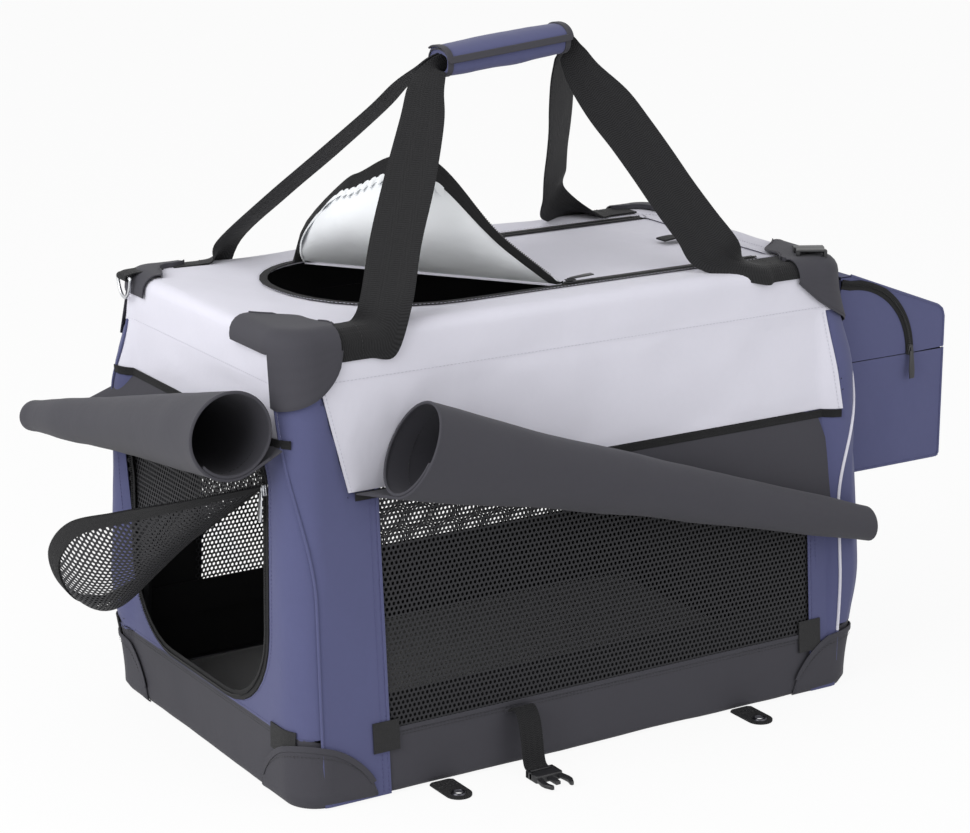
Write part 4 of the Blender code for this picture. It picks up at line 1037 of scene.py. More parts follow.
def stitched(name, paths, tone):
    """Stitches along several paths in one piece."""
    finish = canvas(tone, THREADS[tone], 0.6, 0.0002, 400.0, 0.3, 0.08)
    own = sizes()
    return beaded(name, paths, finish, "Stitches", "X", own.stitch_pitch, own.stitch, own.thread)


def zip_teeth(name, paths):
    """Coil zip teeth along several paths in one piece."""
    finish = moulded("Zip coil", colours().webbing, 0.35)
    return beaded(name, paths, finish, "Zip teeth", "Y", sizes().tooth_pitch, 0.0040, 0.0015)


def net_piece(name, inside, extent, to_world):
    """A net over the cells whose middles lie inside an outline; to_world maps (u, v) to a place."""
    own = sizes()
    low_u, high_u, low_v, high_v = extent
    wide, tall = own.net_pitch, own.net_row
    shared, verts, faces = {}, [], []

    def corner(i, j):
        if (i, j) not in shared:
            shared[i, j] = len(verts)
            verts.append(to_world(i * wide / 2, j * tall / 3))
        return shared[i, j]

    for row in range(math.floor(low_v / tall), math.ceil(high_v / tall) + 1):
        for col in range(math.floor(low_u / wide), math.ceil(high_u / wide) + 1):
            i, j = 2 * col + row % 2, 3 * row
            if inside(i * wide / 2, j * tall / 3):
                ring = ((-1, -1), (0, -2), (1, -1), (1, 1), (0, 2), (-1, 1))
                faces.append([corner(i + a, j + b) for a, b in ring])
    tree = grower("Knitted net", (("Hole", 0.62), ("Thread", 0.0007)), net_of_cells)
    return grown(name, verts, [], faces, tree, net_thread(), Hole=own.net_hole,
                 Thread=own.net_thread)


# Stage


def aim(obj, azimuth, fall):
    """Turns a lamp or camera to look along an azimuth and down by an angle, in degrees."""
    a, e = math.radians(azimuth), math.radians(fall)
    back = Vector((math.sin(a) * math.cos(e), -math.cos(a) * math.cos(e), math.sin(e)))
    obj.rotation_euler = (-back).to_track_quat("-Z", "Y").to_euler()
    return back


def add_camera():
    lens = bpy.data.cameras.new("View")
    lens.lens = CAMERA_LENS
    lens.sensor_width = 36.0
    lens.clip_start, lens.clip_end = 0.05, 50.0
    camera = linked("View", lens)
    camera.location = CAMERA_PLACE
    aim(camera, CAMERA_AZIMUTH, CAMERA_FALL)
    bpy.context.scene.camera = camera


def soft_lamp(name, azimuth, fall, distance, size, energy):
    lamp = bpy.data.lights.new(name, "AREA")
    lamp.shape = "DISK"
    lamp.size = size
    lamp.energy = energy
    obj = linked(name, lamp)
    obj.location = Vector((0, 0, 0.25)) + aim(obj, azimuth, fall) * distance


def white_to_the_eye(tree, lit, kind, share, output):
    """A share of plain white to the camera and in reflections, lit normally otherwise."""
    path = tree.nodes.new("ShaderNodeLightPath").outputs
    seen = maths(tree, "MAXIMUM", path["Is Camera Ray"], path["Is Glossy Ray"])
    seen = maths(tree, "MAXIMUM", seen, path["Is Transmission Ray"])
    plain = joined(tree, kind, Color=WHITE, Strength=1.0)
    mix = tree.nodes.new("ShaderNodeMixShader")
    for socket, source in zip(mix.inputs, (maths(tree, "MULTIPLY", seen, share), lit,
                                           plain.outputs[0])):
        tree.links.new(source, socket)
    tree.links.new(mix.outputs[0], tree.nodes[output].inputs[0])


def add_world():
    world = bpy.data.worlds.new("Studio")
    bpy.context.scene.world = world
    world.use_nodes = True
    tree = world.node_tree
    soft = give(tree, tree.nodes["Background"], Color=WHITE, Strength=WORLD_LIGHT)
    white_to_the_eye(tree, soft.outputs[0], "ShaderNodeBackground", 1.0, "World Output")


def floor_finish():
    """Lit matt white, mostly shown as plain white so that only soft shadow is left."""
    mat, tree, shader, _ = new_finish("Studio floor")
    give(tree, shader, Base_Color=(*colours().floor, 1.0), Roughness=0.9, Specular_IOR_Level=0.1)
    white_to_the_eye(tree, shader.outputs[0], "ShaderNodeEmission", FLOOR_WHITE, "Material Output")
    return mat


def add_floor():
    floor = new_piece("Studio_floor", [(sx * FLOOR_SIDE, sy * FLOOR_SIDE, 0) for sx, sy in
                                       ((-1, -1), (1, -1), (1, 1), (-1, 1))],
                      [(0, 1, 2, 3)], [floor_finish()])
    floor.location.z = -0.0006


class CRATE_OT_stage(bpy.types.Operator):
    """Camera at the photograph's place, soft studio light and a pale floor"""

    bl_idname = "crate.stage"
    bl_label = "Stage"

    def execute(self, context):
        context.scene.view_settings.view_transform = "Standard"
        add_camera()
        add_world()
        add_floor()
        for lamp in LAMPS:
            soft_lamp(*lamp)
        return {"FINISHED"}


# Tray, boots and lining

UNDER_STRIP = 0.0026
TRAY_DEPTH = 0.0007
SKIRT_TOP = 0.101
BOOT_REACH = (0.083, 0.080)


def tray_depth(station, z):
    """Deeper where the tray is tucked under a corner strip."""
    side, _, share, _ = station
    hidden = 0.0
    if side == "corner":
        hidden = 1 - eased((share - seam_turn(z) - 0.03) / 0.25)
    elif side == "long":
        x = share * (half_length(z) - CORNER_RADIUS)
        hidden = (eased((x - WINDOW_X[1] + 0.002) / 0.006 + 0.5)
                  + eased((WINDOW_X[0] - x + 0.002) / 0.006 + 0.5))
    return lerp(TRAY_DEPTH, UNDER_STRIP, min(hidden, 1.0))


def tray_grid():
    """Rows from the middle of the underside out and up to the band's top."""
    stations = ring_stations()
    foot = [s[3](0.0, BASE_EDGE + UNDER_STRIP) for s in stations]
    rows = [[Vector((p.x * share, p.y * share, 0.0003)) for p in foot]
            for share in (0.002, 0.25, 0.5, 0.75, 0.93)]
    for turn in spread(0.0, math.pi / 2, 4):
        rows.append([s[3](0.0003 + BASE_EDGE * (1 - math.cos(turn)),
                          tray_depth(s, 0.01) + BASE_EDGE * (1 - math.sin(turn)))
                     for s in stations])
    for t in spread(0.0, 1.0, 9)[1:]:
        row = []
        for s in stations:
            ends = 0.0 if s[0] == "long" else 1.0 if s[0] == "end" else eased((s[2] - 0.1) / 0.4)
            z = lerp(BASE_EDGE, lerp(BAND_TOP, DOOR_BAND_TOP, ends) + 0.0008, t)
            row.append(s[3](z, tray_depth(s, z)))
        rows.append(row)
    return rows


def boot_grid(sx, sy):
    """An arch round a bottom corner, from the floor to its curved top."""
    long_flat, end_flat = (r - CORNER_RADIUS for r in BOOT_REACH)
    rows = []
    for level in spread(0.0, 1.0, 8):
        row = []
        for t in spread(0.0, 1.0, 34):
            z = lerp(0.0006, 0.005 + 0.057 * max(math.sin(math.pi * t), 0.0) ** 0.62, level)
            under = BASE_EDGE * (1 - math.sqrt(max(1 - (1 - min(z / BASE_EDGE, 1.0)) ** 2, 0.0)))
            run = t * (long_flat + CORNER_ARC + end_flat)
            row.append(wrapped_spot(sx, sy, run, long_flat, z, under - 0.0021))
        rows.append(row)
    return rows


class CRATE_OT_base(bpy.types.Operator):
    """The charcoal tub with its hem, the corner boots and the dark lining skirt inside"""

    bl_idname = "crate.base"
    bl_label = "Tray and boots"

    def execute(self, context):
        tailored("Tray", tray_grid(), [charcoal(), lining()], "base_tray", hold=on_body,
                 on=("base_frame", "base_board"), closed=True, puff=0.0012, seed=3, hem=2)
        lines = []
        for lift in (-0.0032, -0.0060):
            hem = straight((WINDOW_X[0] + 0.004, BAND_TOP + lift),
                           (WINDOW_X[1] - 0.004, BAND_TOP + lift), 90)
            lines += [on_long(sy, hem, -0.0004) for sy in (-1, 1)]
            hem = straight((-0.19, DOOR_BAND_TOP + lift), (0.19, DOOR_BAND_TOP + lift), 60)
            lines += [on_end(sx, hem, -0.0004) for sx in (-1, 1)]
        for name, sx, sy in CORNERS:
            grid = boot_grid(sx, sy)
            tailored("Boot_" + name, grid, [charcoal()], "boot_" + name, hold=on_body,
                     thickness=0.0013, flip=sx * sy > 0, puff=0.0005, seed=5)
            on_body(band("Boot_hem_" + name, [p + outward_at(p) * 0.0004 for p in grid[-1][1:-1]],
                         0.0030, charcoal(), 0.0014))
            lines.append([p + outward_at(p) * 0.0010 for p in grid[-2][2:-2]])
        on_body(stitched("Tray_stitches", lines, "Dark thread"))
        stations = [s for s in ring_stations() if s[:2] != ("end", -1)
                    and not (s[0] == "corner" and s[1][0] < 0 and s[2] > 0.5)]
        first = next(k for k, s in enumerate(stations) if s[:2] == ("corner", (-1, 1)))
        stations = stations[first + 5:] + stations[:first + 5]
        grid = [[s[3](z, 0.0052) for s in stations] for z in spread(BAND_TOP, SKIRT_TOP, 6)]
        tailored("Lining_skirt", grid, [lining()], thickness=0.0010, puff=0.0008, seed=4)
        return {"FINISHED"}


# Corner strips, end walls and valances

STRIP_SPLIT = 5


def valance_end(sx, z):
    """Where the panel over a window ends, at the door or the rear."""
    return lerp(*(VALANCE_RIGHT if sx > 0 else VALANCE_LEFT),
                (z - WINDOW_TOP) / (TOP_SEAM - WINDOW_TOP))


def strip_levels():
    """Heights of a corner strip's rows; one of them lies on the band's top."""
    return spread(0.0015, BAND_TOP, STRIP_SPLIT) + spread(BAND_TOP, TOP_SEAM + 0.002, 30)[1:]


def strip_grid(sx, sy):
    """Rows from the window to the seam, tucked under the valance and the roof."""
    rows = []
    for z in strip_levels():
        cover = abs(valance_end(sx, z))
        tucked = 0.0026 * eased((z - TOP_SEAM + 0.007) / 0.006)
        row = []
        for u in spread(abs(WINDOW_X[sx > 0]), seam_on_long(z), 18):
            hidden = eased((z - WINDOW_TOP + 0.001) / 0.004) * (1 - eased((u - cover + 0.002) / 0.004))
            row.append(long_spot(sy, sx * u, z, max(0.0050 * hidden, tucked)))
        rows.append(row)
    return rows


def seam_line(sx, sy, levels):
    return [long_spot(sy, sx * (seam_on_long(z) + 0.0006), z, -0.0005) for z in levels]


def wall_grid(sx, low, high, opening, radii):
    """Rows from a wall's outer edge in to its opening."""
    outer = [(share * (seam_on_end(z) - 0.0005), z) for share, z in
             rounded_box((-1.0, 1.0, low, high), (0.003,) * 4, 44, 36)]
    inner = rounded_box(opening, radii, 44, 36)
    return [[end_spot(sx, lerp(a[0], b[0], t ** 1.25), lerp(a[1], b[1], t ** 1.25), 0.0004)
             for a, b in zip(outer, inner)] for t in spread(0.0, 1.0, 9)]


class CRATE_OT_walls(bpy.types.Operator):
    """Blue corner strips and end walls with dark linings, piped seams and stitching"""

    bl_idname = "crate.walls"
    bl_label = "Strips and end walls"

    def execute(self, context):
        upper, lower = [], []
        for name, sx, sy in CORNERS:
            grid = strip_grid(sx, sy)
            for part, low, high in (("", STRIP_SPLIT, len(grid) - 1), ("_foot", 0, STRIP_SPLIT)):
                strip = cloth("Strip_" + name + part, grid, [blue(), lining()], flip=sx * sy > 0,
                              puff=0.0020, size=0.09, seed=17, span=(low, high))
                if part:
                    on_body(strip)
                else:
                    on_wall(strip, "corner_strip_" + name)
                cut_cloth(strip, grid[low:high + 1], "stretched", "Tray")
            # The rear corners' piping is blue like the door corners' piping (its slot is blue canvas),
            # but it is painted lilac: a painted highlight along the rear corners' lit edge.
            cord = smooth_path(seam_line(sx, sy, strip_levels()[STRIP_SPLIT:]), 60)
            on_wall(piping("Piping_" + name, cord, blue() if sx < 0 else lilac()),
                    slot="blue_canvas")
            cord = seam_line(sx, sy, spread(0.030, BAND_TOP, 8))
            on_body(piping("Piping_foot_" + name, cord, blue()))
            for inset in (0.0025, 0.0085):
                x = sx * (abs(WINDOW_X[sx > 0]) + inset)
                for lines, levels in ((upper, spread(BAND_TOP, WINDOW_TOP - 0.001, 60)),
                                      (lower, spread(0.006, BAND_TOP, 14))):
                    lines.append([long_spot(sy, x, z, -0.0003) for z in levels])
        low, high = DOOR_BAND_TOP, DOOR_VALANCE_BOTTOM + 0.002
        tailored("Door_wall", wall_grid(-1, low, high, grown_box(DOOR_BOX, 0.004), DOOR_RADII),
                 [blue(), lining()], "door_wall", closed=True, flip=True, puff=0.0018, size=0.07,
                 seed=11, hem=2)
        grid = [[end_spot(1, y, z, 0.0004)
                 for y in spread(0.0005 - seam_on_end(z), seam_on_end(z) - 0.0005, 44)]
                for z in spread(low, high, 36)]
        tailored("Rear_wall", grid, [blue(), lining()], "rear_wall", puff=0.0024, size=0.10,
                 seed=13)
        upper += [on_end(sx, straight((-0.19, low + 0.003), (0.19, low + 0.003), 60), 0.0003)
                  for sx in (-1, 1)]
        on_wall(stitched("Strip_stitches", upper, "Blue thread"))
        on_body(stitched("Strip_foot_stitches", lower, "Blue thread"))
        return {"FINISHED"}


class CRATE_OT_valances(bpy.types.Operator):
    """Lilac panels under the roof seam, sewn down with a row of stitches"""

    bl_idname = "crate.valances"
    bl_label = "Valances"

    def execute(self, context):
        lines = []
        for side, sy in SIDES:
            grid = [[long_spot(sy, x, z, 0.0)
                     for x in spread(valance_end(-1, z), valance_end(1, z), 110)]
                    for z in spread(WINDOW_TOP, TOP_SEAM + 0.001, 20)]
            tailored(side.capitalize() + "_valance", grid, [lilac(), lining()], side + "_valance",
                     on=(f"Strip_{side}_door", f"Strip_{side}_rear"), flip=sy > 0, puff=0.0042,
                     size=0.09, seed=17)
            lines += [[long_spot(sy, valance_end(sx, z) - sx * 0.003, z, -0.0002)
                       for z in spread(WINDOW_TOP + 0.002, TOP_SEAM - 0.003, 26)]
                      for sx in (-1, 1)]
        for sx, end in ((-1, "door"), (1, "rear")):
            grid = [[end_spot(sx, t * (seam_on_end(z) + 0.001), z, 0.0)
                     for t in spread(-1, 1, 50)]
                    for z in spread(DOOR_VALANCE_BOTTOM, TOP_SEAM + 0.001, 10)]
            tailored(end.capitalize() + "_valance", grid, [lilac(), lining()], end + "_valance",
                     on=(end.capitalize() + "_wall",), flip=sx < 0, puff=0.0036, size=0.07,
                     seed=21 + sx)
            lines.append([end_spot(sx, y, DOOR_VALANCE_BOTTOM + 0.003, -0.0002)
                          for y in spread(-0.150, 0.150, 60)])
        on_wall(stitched("Valance_stitches", lines, "Pale thread"))
        return {"FINISHED"}


# Nets

DOOR_FOLD = ((-0.1408, 0.312), (0.149, 0.134))
TUCK = 0.006
FLAP_NET = (0.315, 0.20)
FOLD_SLACK = 1.12


def above_fold(y, z, gap):
    """Whether a spot in the door opening lies on the side that stays zipped."""
    (y0, z0), (y1, z1) = DOOR_FOLD
    return (y1 - y0) * (z - z0) - (z1 - z0) * (y - y0) > gap * math.hypot(y1 - y0, z1 - z0)


def window_spot(sy, u, v):
    """On a window's net, which sags a little and is tucked in at its edges."""
    v = clamp(v, BAND_TOP - 0.001, WINDOW_TOP + TUCK)
    near = min(u - WINDOW_X[0], WINDOW_X[1] - u)
    sag = 0.0022 * math.sin(math.pi * clamp((v - BAND_TOP) / (WINDOW_TOP - BAND_TOP))) \
        * ruffle(Vector((u, sy, v)), 0.16, 3)
    return long_spot(sy, u, v, 0.0030 - 0.0016 * eased(near / 0.008) + max(sag, -0.0008))


class CRATE_OT_nets(bpy.types.Operator):
    """Knitted nets of both windows and of the part of the door that stays zipped"""

    bl_idname = "crate.nets"
    bl_label = "Nets"

    def execute(self, context):
        left, right = WINDOW_X
        box = (left - TUCK, right + TUCK, BAND_TOP - 0.003, WINDOW_TOP + 0.004)
        for side, sy in SIDES:
            name = side.capitalize()
            net = net_piece(name + "_net", lambda u, v: in_box(u, v, box, (0.0,) * 4), box,
                            functools.partial(window_spot, sy))
            on_wall(net, side + "_window")
            edges = [on_long(sy, straight((x, BAND_TOP + 0.001), (x, WINDOW_TOP), 40), 0.0002)
                     for x in WINDOW_X]
            on_wall(merged(name + "_net_binding",
                           [band(name, edge, 0.0016, blue(), 0.0012) for edge in edges]))
            hem = straight((left + 0.001, BAND_TOP + 0.0004), (right - 0.001, BAND_TOP + 0.0004), 80)
            on_body(band(name + "_net_hem", on_long(sy, hem, -0.0002), 0.0022, charcoal(), 0.0012))
        box = grown_box(DOOR_BOX, 0.004)
        net = net_piece("Door_net", lambda y, z: in_box(y, z, box, DOOR_RADII)
                        and above_fold(y, z, 0.001), box, lambda y, z: end_spot(-1, y, z, 0.0026))
        on_wall(net, "door_mesh")
        return {"FINISHED"}


# Peeled flaps


def peeled(root, rim, bulge, bow, aside):
    """Finds spots on a peeled flap: t along its fold, s from the fold out to its rim."""
    def spot(t, s, lift=0.0):
        place = root(t).lerp(through(rim, t), s) + bow * (through(bulge, t) * 4 * s * (1 - s))
        if not lift:
            return place
        e = 0.01
        u = spot(min(t + e, 1.0), s) - spot(max(t - e, 0.0), s)
        v = spot(t, min(s + e, 1.0)) - spot(t, max(s - e, 0.0))
        normal = u.cross(v)
        return place + (normal.normalized() if normal.length > 1e-12 else aside) * lift
    return spot


def reach_at(spot, t):
    """How far a flap's rim lies from its fold."""
    return (spot(t, 1.0) - spot(t, 0.0)).length


def rim_rows(spot, across, width, count, lift, least):
    """Rows of a binding round a flap's rim, width wide."""
    rows = []
    for k in range(count + 1):
        row = []
        for t in across:
            share = min(width / max(reach_at(spot, t), least), 0.9)
            row.append(spot(t, lerp(1.0 - share, 1.0, k / count), lift))
        rows.append(row)
    return rows


DOOR_RIM = ((0.0, (-0.3362, -0.1408, 0.3120)), (0.16, (-0.4000, -0.1000, 0.2960)),
            (0.34, (-0.4400, -0.0300, 0.2720)), (0.50, (-0.4640, 0.0260, 0.2500)),
            (0.66, (-0.4670, 0.0700, 0.2080)), (0.82, (-0.4420, 0.0900, 0.1600)),
            (0.93, (-0.3900, 0.1180, 0.1340)), (1.0, (-0.3380, 0.1490, 0.1340)))
DOOR_BULGE = ((0.0, 0.0), (0.16, 0.010), (0.34, 0.026), (0.50, 0.040), (0.66, 0.046),
              (0.82, 0.036), (0.93, 0.016), (1.0, 0.0))
DOOR_BOW = Vector((-0.25, -0.50, -0.83))
door_flap_spot = peeled(
    lambda t: end_spot(-1, *(lerp(a, b, t) for a, b in zip(*DOOR_FOLD)), -0.0010),
    DOOR_RIM, DOOR_BULGE, DOOR_BOW, DOOR_BOW)


class CRATE_OT_door_flap(bpy.types.Operator):
    """The unzipped half of the door's net, curled outward and bound in black"""

    bl_idname = "crate.door_flap"
    bl_label = "Door net flap"

    def execute(self, context):
        along = FLAP_NET[0]

        def place(u, v):
            t = clamp(u / along)
            depth = max(reach_at(door_flap_spot, t) * FOLD_SLACK, 0.002)
            return door_flap_spot(t, clamp(v / depth, 0.0, 0.985))

        def inside(u, v):
            return (0.004 < u < along - 0.004 and v >= 0.0
                    and v < reach_at(door_flap_spot, u / along) * FOLD_SLACK)

        net = net_piece("Door_flap_net", inside, (0.0, along, 0.0, 0.22), place)
        on_wall(net, "door_flap", body="door_flap")
        rows = rim_rows(door_flap_spot, spread(0.0, 1.0, 80), 0.0105, 4, 0.0013, 0.003)
        tailored("Door_flap_binding", rows, [black_tape()], body="door_flap", on=("Door_flap_net",),
                 thickness=0.0028, seed=47, hem=1)
        spine = [door_flap_spot(t, 1.0, 0.0006) for t in spread(0.02, 0.985, 70)]
        on_wall(zip_teeth("Door_flap_teeth", [spine]), body="door_flap")
        fold = [door_flap_spot(t, 0.0) for t in spread(0.0, 1.0, 50)]
        on_wall(band("Door_fold_seam", fold, 0.0022, black_tape(), 0.0012))
        outline = rounded_box(DOOR_BOX, DOOR_RADII, 44, 36)
        on_wall(band("Door_zip_tape", on_end(-1, outline, 0.0004), 0.0048, black_tape(), 0.0011,
                     closed=True))
        on_wall(zip_teeth("Door_zip_teeth", [on_end(-1, outline + outline[:1], 0.0014)]))
        left, right, low, high = grown_box(DOOR_BOX, 0.010)
        outline = rounded_box((left, right, low + 0.006, high), [r + 0.006 for r in DOOR_RADII],
                              44, 36)
        on_wall(stitched("Door_stitches", [on_end(-1, outline + outline[:1], 0.0003)],
                         "Blue thread"))
        return {"FINISHED"}


# Rolled covers

ROLL_TURNS = 1.22
ROLL_PITCH = 0.0030
ROLL_LEAD = 10
ZIP_LEVEL = 0.3015
SIDE_ROLL = ((-0.223, 0.2310, 0.353, 0.043, 0.022), (0.060, 0.2265, 0.268, 0.031, 0.0),
             (0.335, 0.2240, 0.184, 0.019, 0.0))
SIDE_ROLL_SEAM = (-0.262, 0.290)
DOOR_ROLL = ((-0.172, 0.382, 0.376, 0.043, 0.0), (0.035, 0.381, 0.336, 0.031, 0.0),
             (0.293, 0.385, 0.285, 0.017, 0.0))
DOOR_ROLL_SEAM = (-0.177, 0.150)


def roll_line(seam, centre, radius, steps=44):
    """(out, up) points from the seam down to the roll and round it."""
    seam, centre = Vector(seam), Vector(centre)
    away = seam - centre
    first = math.atan2(away.y, away.x) + math.acos(min(radius / away.length, 1.0))

    def on_roll(turn, reach):
        return centre + Vector((math.cos(turn), math.sin(turn))) * reach

    return ([seam.lerp(on_roll(first, radius), k / ROLL_LEAD) for k in range(ROLL_LEAD)]
            + [on_roll(first + 2 * math.pi * wound, radius - ROLL_PITCH * wound)
               for wound in spread(0.0, ROLL_TURNS, steps)])


def roll_grid(stations, seam, seam_span, to_world, count=64):
    """Rows run from the seam round the roll, columns along it from its open end."""
    first, last = stations[0][0], stations[-1][0]
    keys = [((s[0] - first) / (last - first), s) for s in stations]
    columns = []
    for t in spread(0.0, 1.0, count):
        out, up, radius, slant = (through([(k, s[j]) for k, s in keys], t) for j in range(1, 5))
        slant = slant if t < 0.5 else 0.0
        along = lerp(first, last, t)
        line = roll_line(seam, (out, up), radius)
        column = []
        for k, p in enumerate(line):
            wound = max(k - ROLL_LEAD, 0) / (len(line) - ROLL_LEAD - 1)
            lean = slant * math.cos(2 * math.pi * ROLL_TURNS * wound)
            at = lerp(lerp(*seam_span, t), along - slant, k / ROLL_LEAD) if k < ROLL_LEAD \
                else along - lean
            column.append(to_world(at, p.x, p.y))
        columns.append(column)
    return [list(row) for row in zip(*columns)]


class CRATE_OT_covers(bpy.types.Operator):
    """Charcoal covers of the windows and the door, each rolled up into a cone"""

    bl_idname = "crate.covers"
    bl_label = "Rolled covers"

    def execute(self, context):
        ends = (VALANCE_LEFT[0] + 0.006, VALANCE_RIGHT[0] - 0.002)
        runs = [(side.capitalize(), [long_spot(sy, x, ZIP_LEVEL, -0.0016) for x in spread(*ends, 90)])
                for side, sy in SIDES]
        runs.append(("Door", [end_spot(-1, y, DOOR_VALANCE_BOTTOM, -0.0016)
                              for y in spread(-0.177, 0.166, 60)]))
        for name, points in runs:
            on_wall(band(name + "_zip", points, 0.0042, black_tape(), 0.0012))
        seam = (half_width(WINDOW_TOP) + 0.0008, WINDOW_TOP - 0.001)
        jobs = [(side, SIDE_ROLL, seam, SIDE_ROLL_SEAM,
                 lambda a, o, u, s=sy: Vector((a, s * o, u)), sy < 0) for side, sy in SIDES]
        seam = (half_length(DOOR_VALANCE_BOTTOM) + 0.0008, DOOR_VALANCE_BOTTOM - 0.003)
        jobs.append(("door", DOOR_ROLL, seam, DOOR_ROLL_SEAM,
                     lambda a, o, u: Vector((-o, a, u)), False))
        for side, stations, seam, span, to_world, flip in jobs:
            grid = roll_grid(stations, seam, span, to_world)
            name = side.capitalize() + "_cover"
            tailored(name, grid, [charcoal()], side + "_curtain", held="hung",
                     on=(side.capitalize() + "_valance",), thickness=0.0013, flip=flip, puff=0.0022,
                     size=0.09, seed=53)
            mouth = smooth_path([row[0] for row in grid[4:]], 150)
            on_wall(sweep(name + "_mouth_binding", stations_along(mouth), round_section(0.0016),
                          charcoal()))
            normals = grid_normals(grid, False)
            last = len(grid) - 1
            hem = smooth_path([row[3] for row in grid[8:]], 260)
            line = [p + normals[min(8 + k * (last - 8) // 260, last)][3]
                    * ((-1.0 if flip else 1.0) * 0.0004) for k, p in enumerate(hem)]
            on_wall(stitched(name + "_stitches", [line], "Dark thread"))
        return {"FINISHED"}


# Roof, its zipped door and the corner patches

ROOF_FOLD = (Vector((0.018, -0.1168, HEIGHT)), Vector((-0.152, 0.1168, HEIGHT)))
FLAP_RIM = ((0.0, (0.018, -0.1168, 0.4602)), (0.16, (-0.038, -0.090, 0.512)),
            (0.40, (-0.080, -0.036, 0.580)), (0.50, (-0.101, 0.000, 0.583)),
            (0.75, (-0.130, 0.025, 0.565)), (0.90, (-0.143, 0.045, 0.550)),
            (0.96, (-0.157, 0.095, 0.503)), (1.0, (-0.164, 0.114, 0.4605)))
FLAP_BULGE = ((0.0, 0.0), (0.16, 0.008), (0.40, 0.040), (0.50, 0.050), (0.75, 0.045),
              (0.90, 0.030), (1.0, 0.0))
FLAP_TOWARDS = Vector((-0.808, -0.588, 0.0))
FLAP_BINDING = 0.0155
PATCH_REACH = {-1: (0.060, 0.099), 1: (0.060, 0.060)}
PATCH_SEAM = 0.471
PATCH_LIFT = 0.0036

flap_spot = peeled(lambda t: ROOF_FOLD[0].lerp(ROOF_FOLD[1], t) + UP * 0.0006, FLAP_RIM,
                   FLAP_BULGE, FLAP_TOWARDS, -FLAP_TOWARDS)


def roof_grid():
    """Rows from the seam up the border, over the rim and in to the roof door's opening."""
    stations = ring_stations()
    rows = [[s[3](z, 0.0) for s in stations] for z in spread(TOP_SEAM, HEIGHT - TOP_EDGE, 6)]
    for u in spread(0.0, TOP_EDGE * math.pi / 2, 5)[1:]:
        depth, z = rim_profile(0.0, u)
        rows.append([s[3](z, depth) for s in stations])
    opening = rounded_box(grown_box(ROOF_BOX, 0.003), ROOF_RADII, 72, 44)
    rim = rows[-1]
    for t in spread(0.0, 1.0, 9)[1:]:
        rows.append([a.lerp(Vector((x, y, HEIGHT)), t) for a, (x, y) in zip(rim, opening)])
    return rows


def panel_grid():
    """The part of the roof door that stays zipped, from the fold line to its right end."""
    radius = ROOF_RADII[1]
    edge = ROOF_BOX[3] - 0.0030
    rows = []
    for y in spread(-edge, edge, 36):
        left = lerp(ROOF_FOLD[0].x, ROOF_FOLD[1].x, (y + edge) / (2 * edge)) + 0.002
        over = max(abs(y) - (edge - radius), 0.0)
        right = ROOF_BOX[1] - 0.0030 - (radius - math.sqrt(max(radius ** 2 - over ** 2, 0.0)))
        rows.append([Vector((x, y, HEIGHT - 0.0003)) for x in spread(left, right, 60)])
    return rows


def patch_grid(sx, sy):
    """Rows from a top corner patch's lower edge, over the rim and in over the roof."""
    anchor = Vector((sx * 0.215, sy * 0.085, 0.0))
    long_flat, end_flat = (r - CORNER_RADIUS for r in PATCH_REACH[sy])
    columns = []
    for t in spread(0.0, PATCH_SEAM, 22) + spread(PATCH_SEAM + 0.012, 1.0, 22):
        run = t * (long_flat + CORNER_ARC + end_flat)
        bow = max(math.sin(math.pi * t), 0.0) ** (0.7 if t < PATCH_SEAM else 1.05)
        before = max(PATCH_SEAM - t, 0.0) / PATCH_SEAM
        round_off = math.sqrt(max(1 - before ** 2, 0.0)) if sx < 0 else 1 - before ** 1.15
        drop = 0.004 + (0.052 * round_off if t <= PATCH_SEAM else 0.0)
        inward = 0.005 + (0.041 if sy < 0 else 0.014) * bow
        line = []
        for u in spread(-drop, 0.0, 5) + spread(0.0, TOP_EDGE * math.pi / 2, 5)[1:]:
            depth, z = rim_profile(PATCH_LIFT, u)
            line.append(wrapped_spot(sx, sy, run, long_flat, z, depth))
        way = anchor - line[-1]
        way.z = 0.0
        way.normalize()
        columns.append(line + [line[-1] + way * (inward * k / 5) for k in range(1, 6)])
    return [list(row) for row in zip(*columns)]


def at_height(spots, z):
    """(x, y) spots at one height."""
    return [Vector((x, y, z)) for x, y in spots]


def flat_band(name, spots, half, finish):
    """A tape lying flat, just under the roof's surface."""
    return band(name, at_height(spots, HEIGHT - 0.0006), half, finish, 0.0010, lambda p: UP)


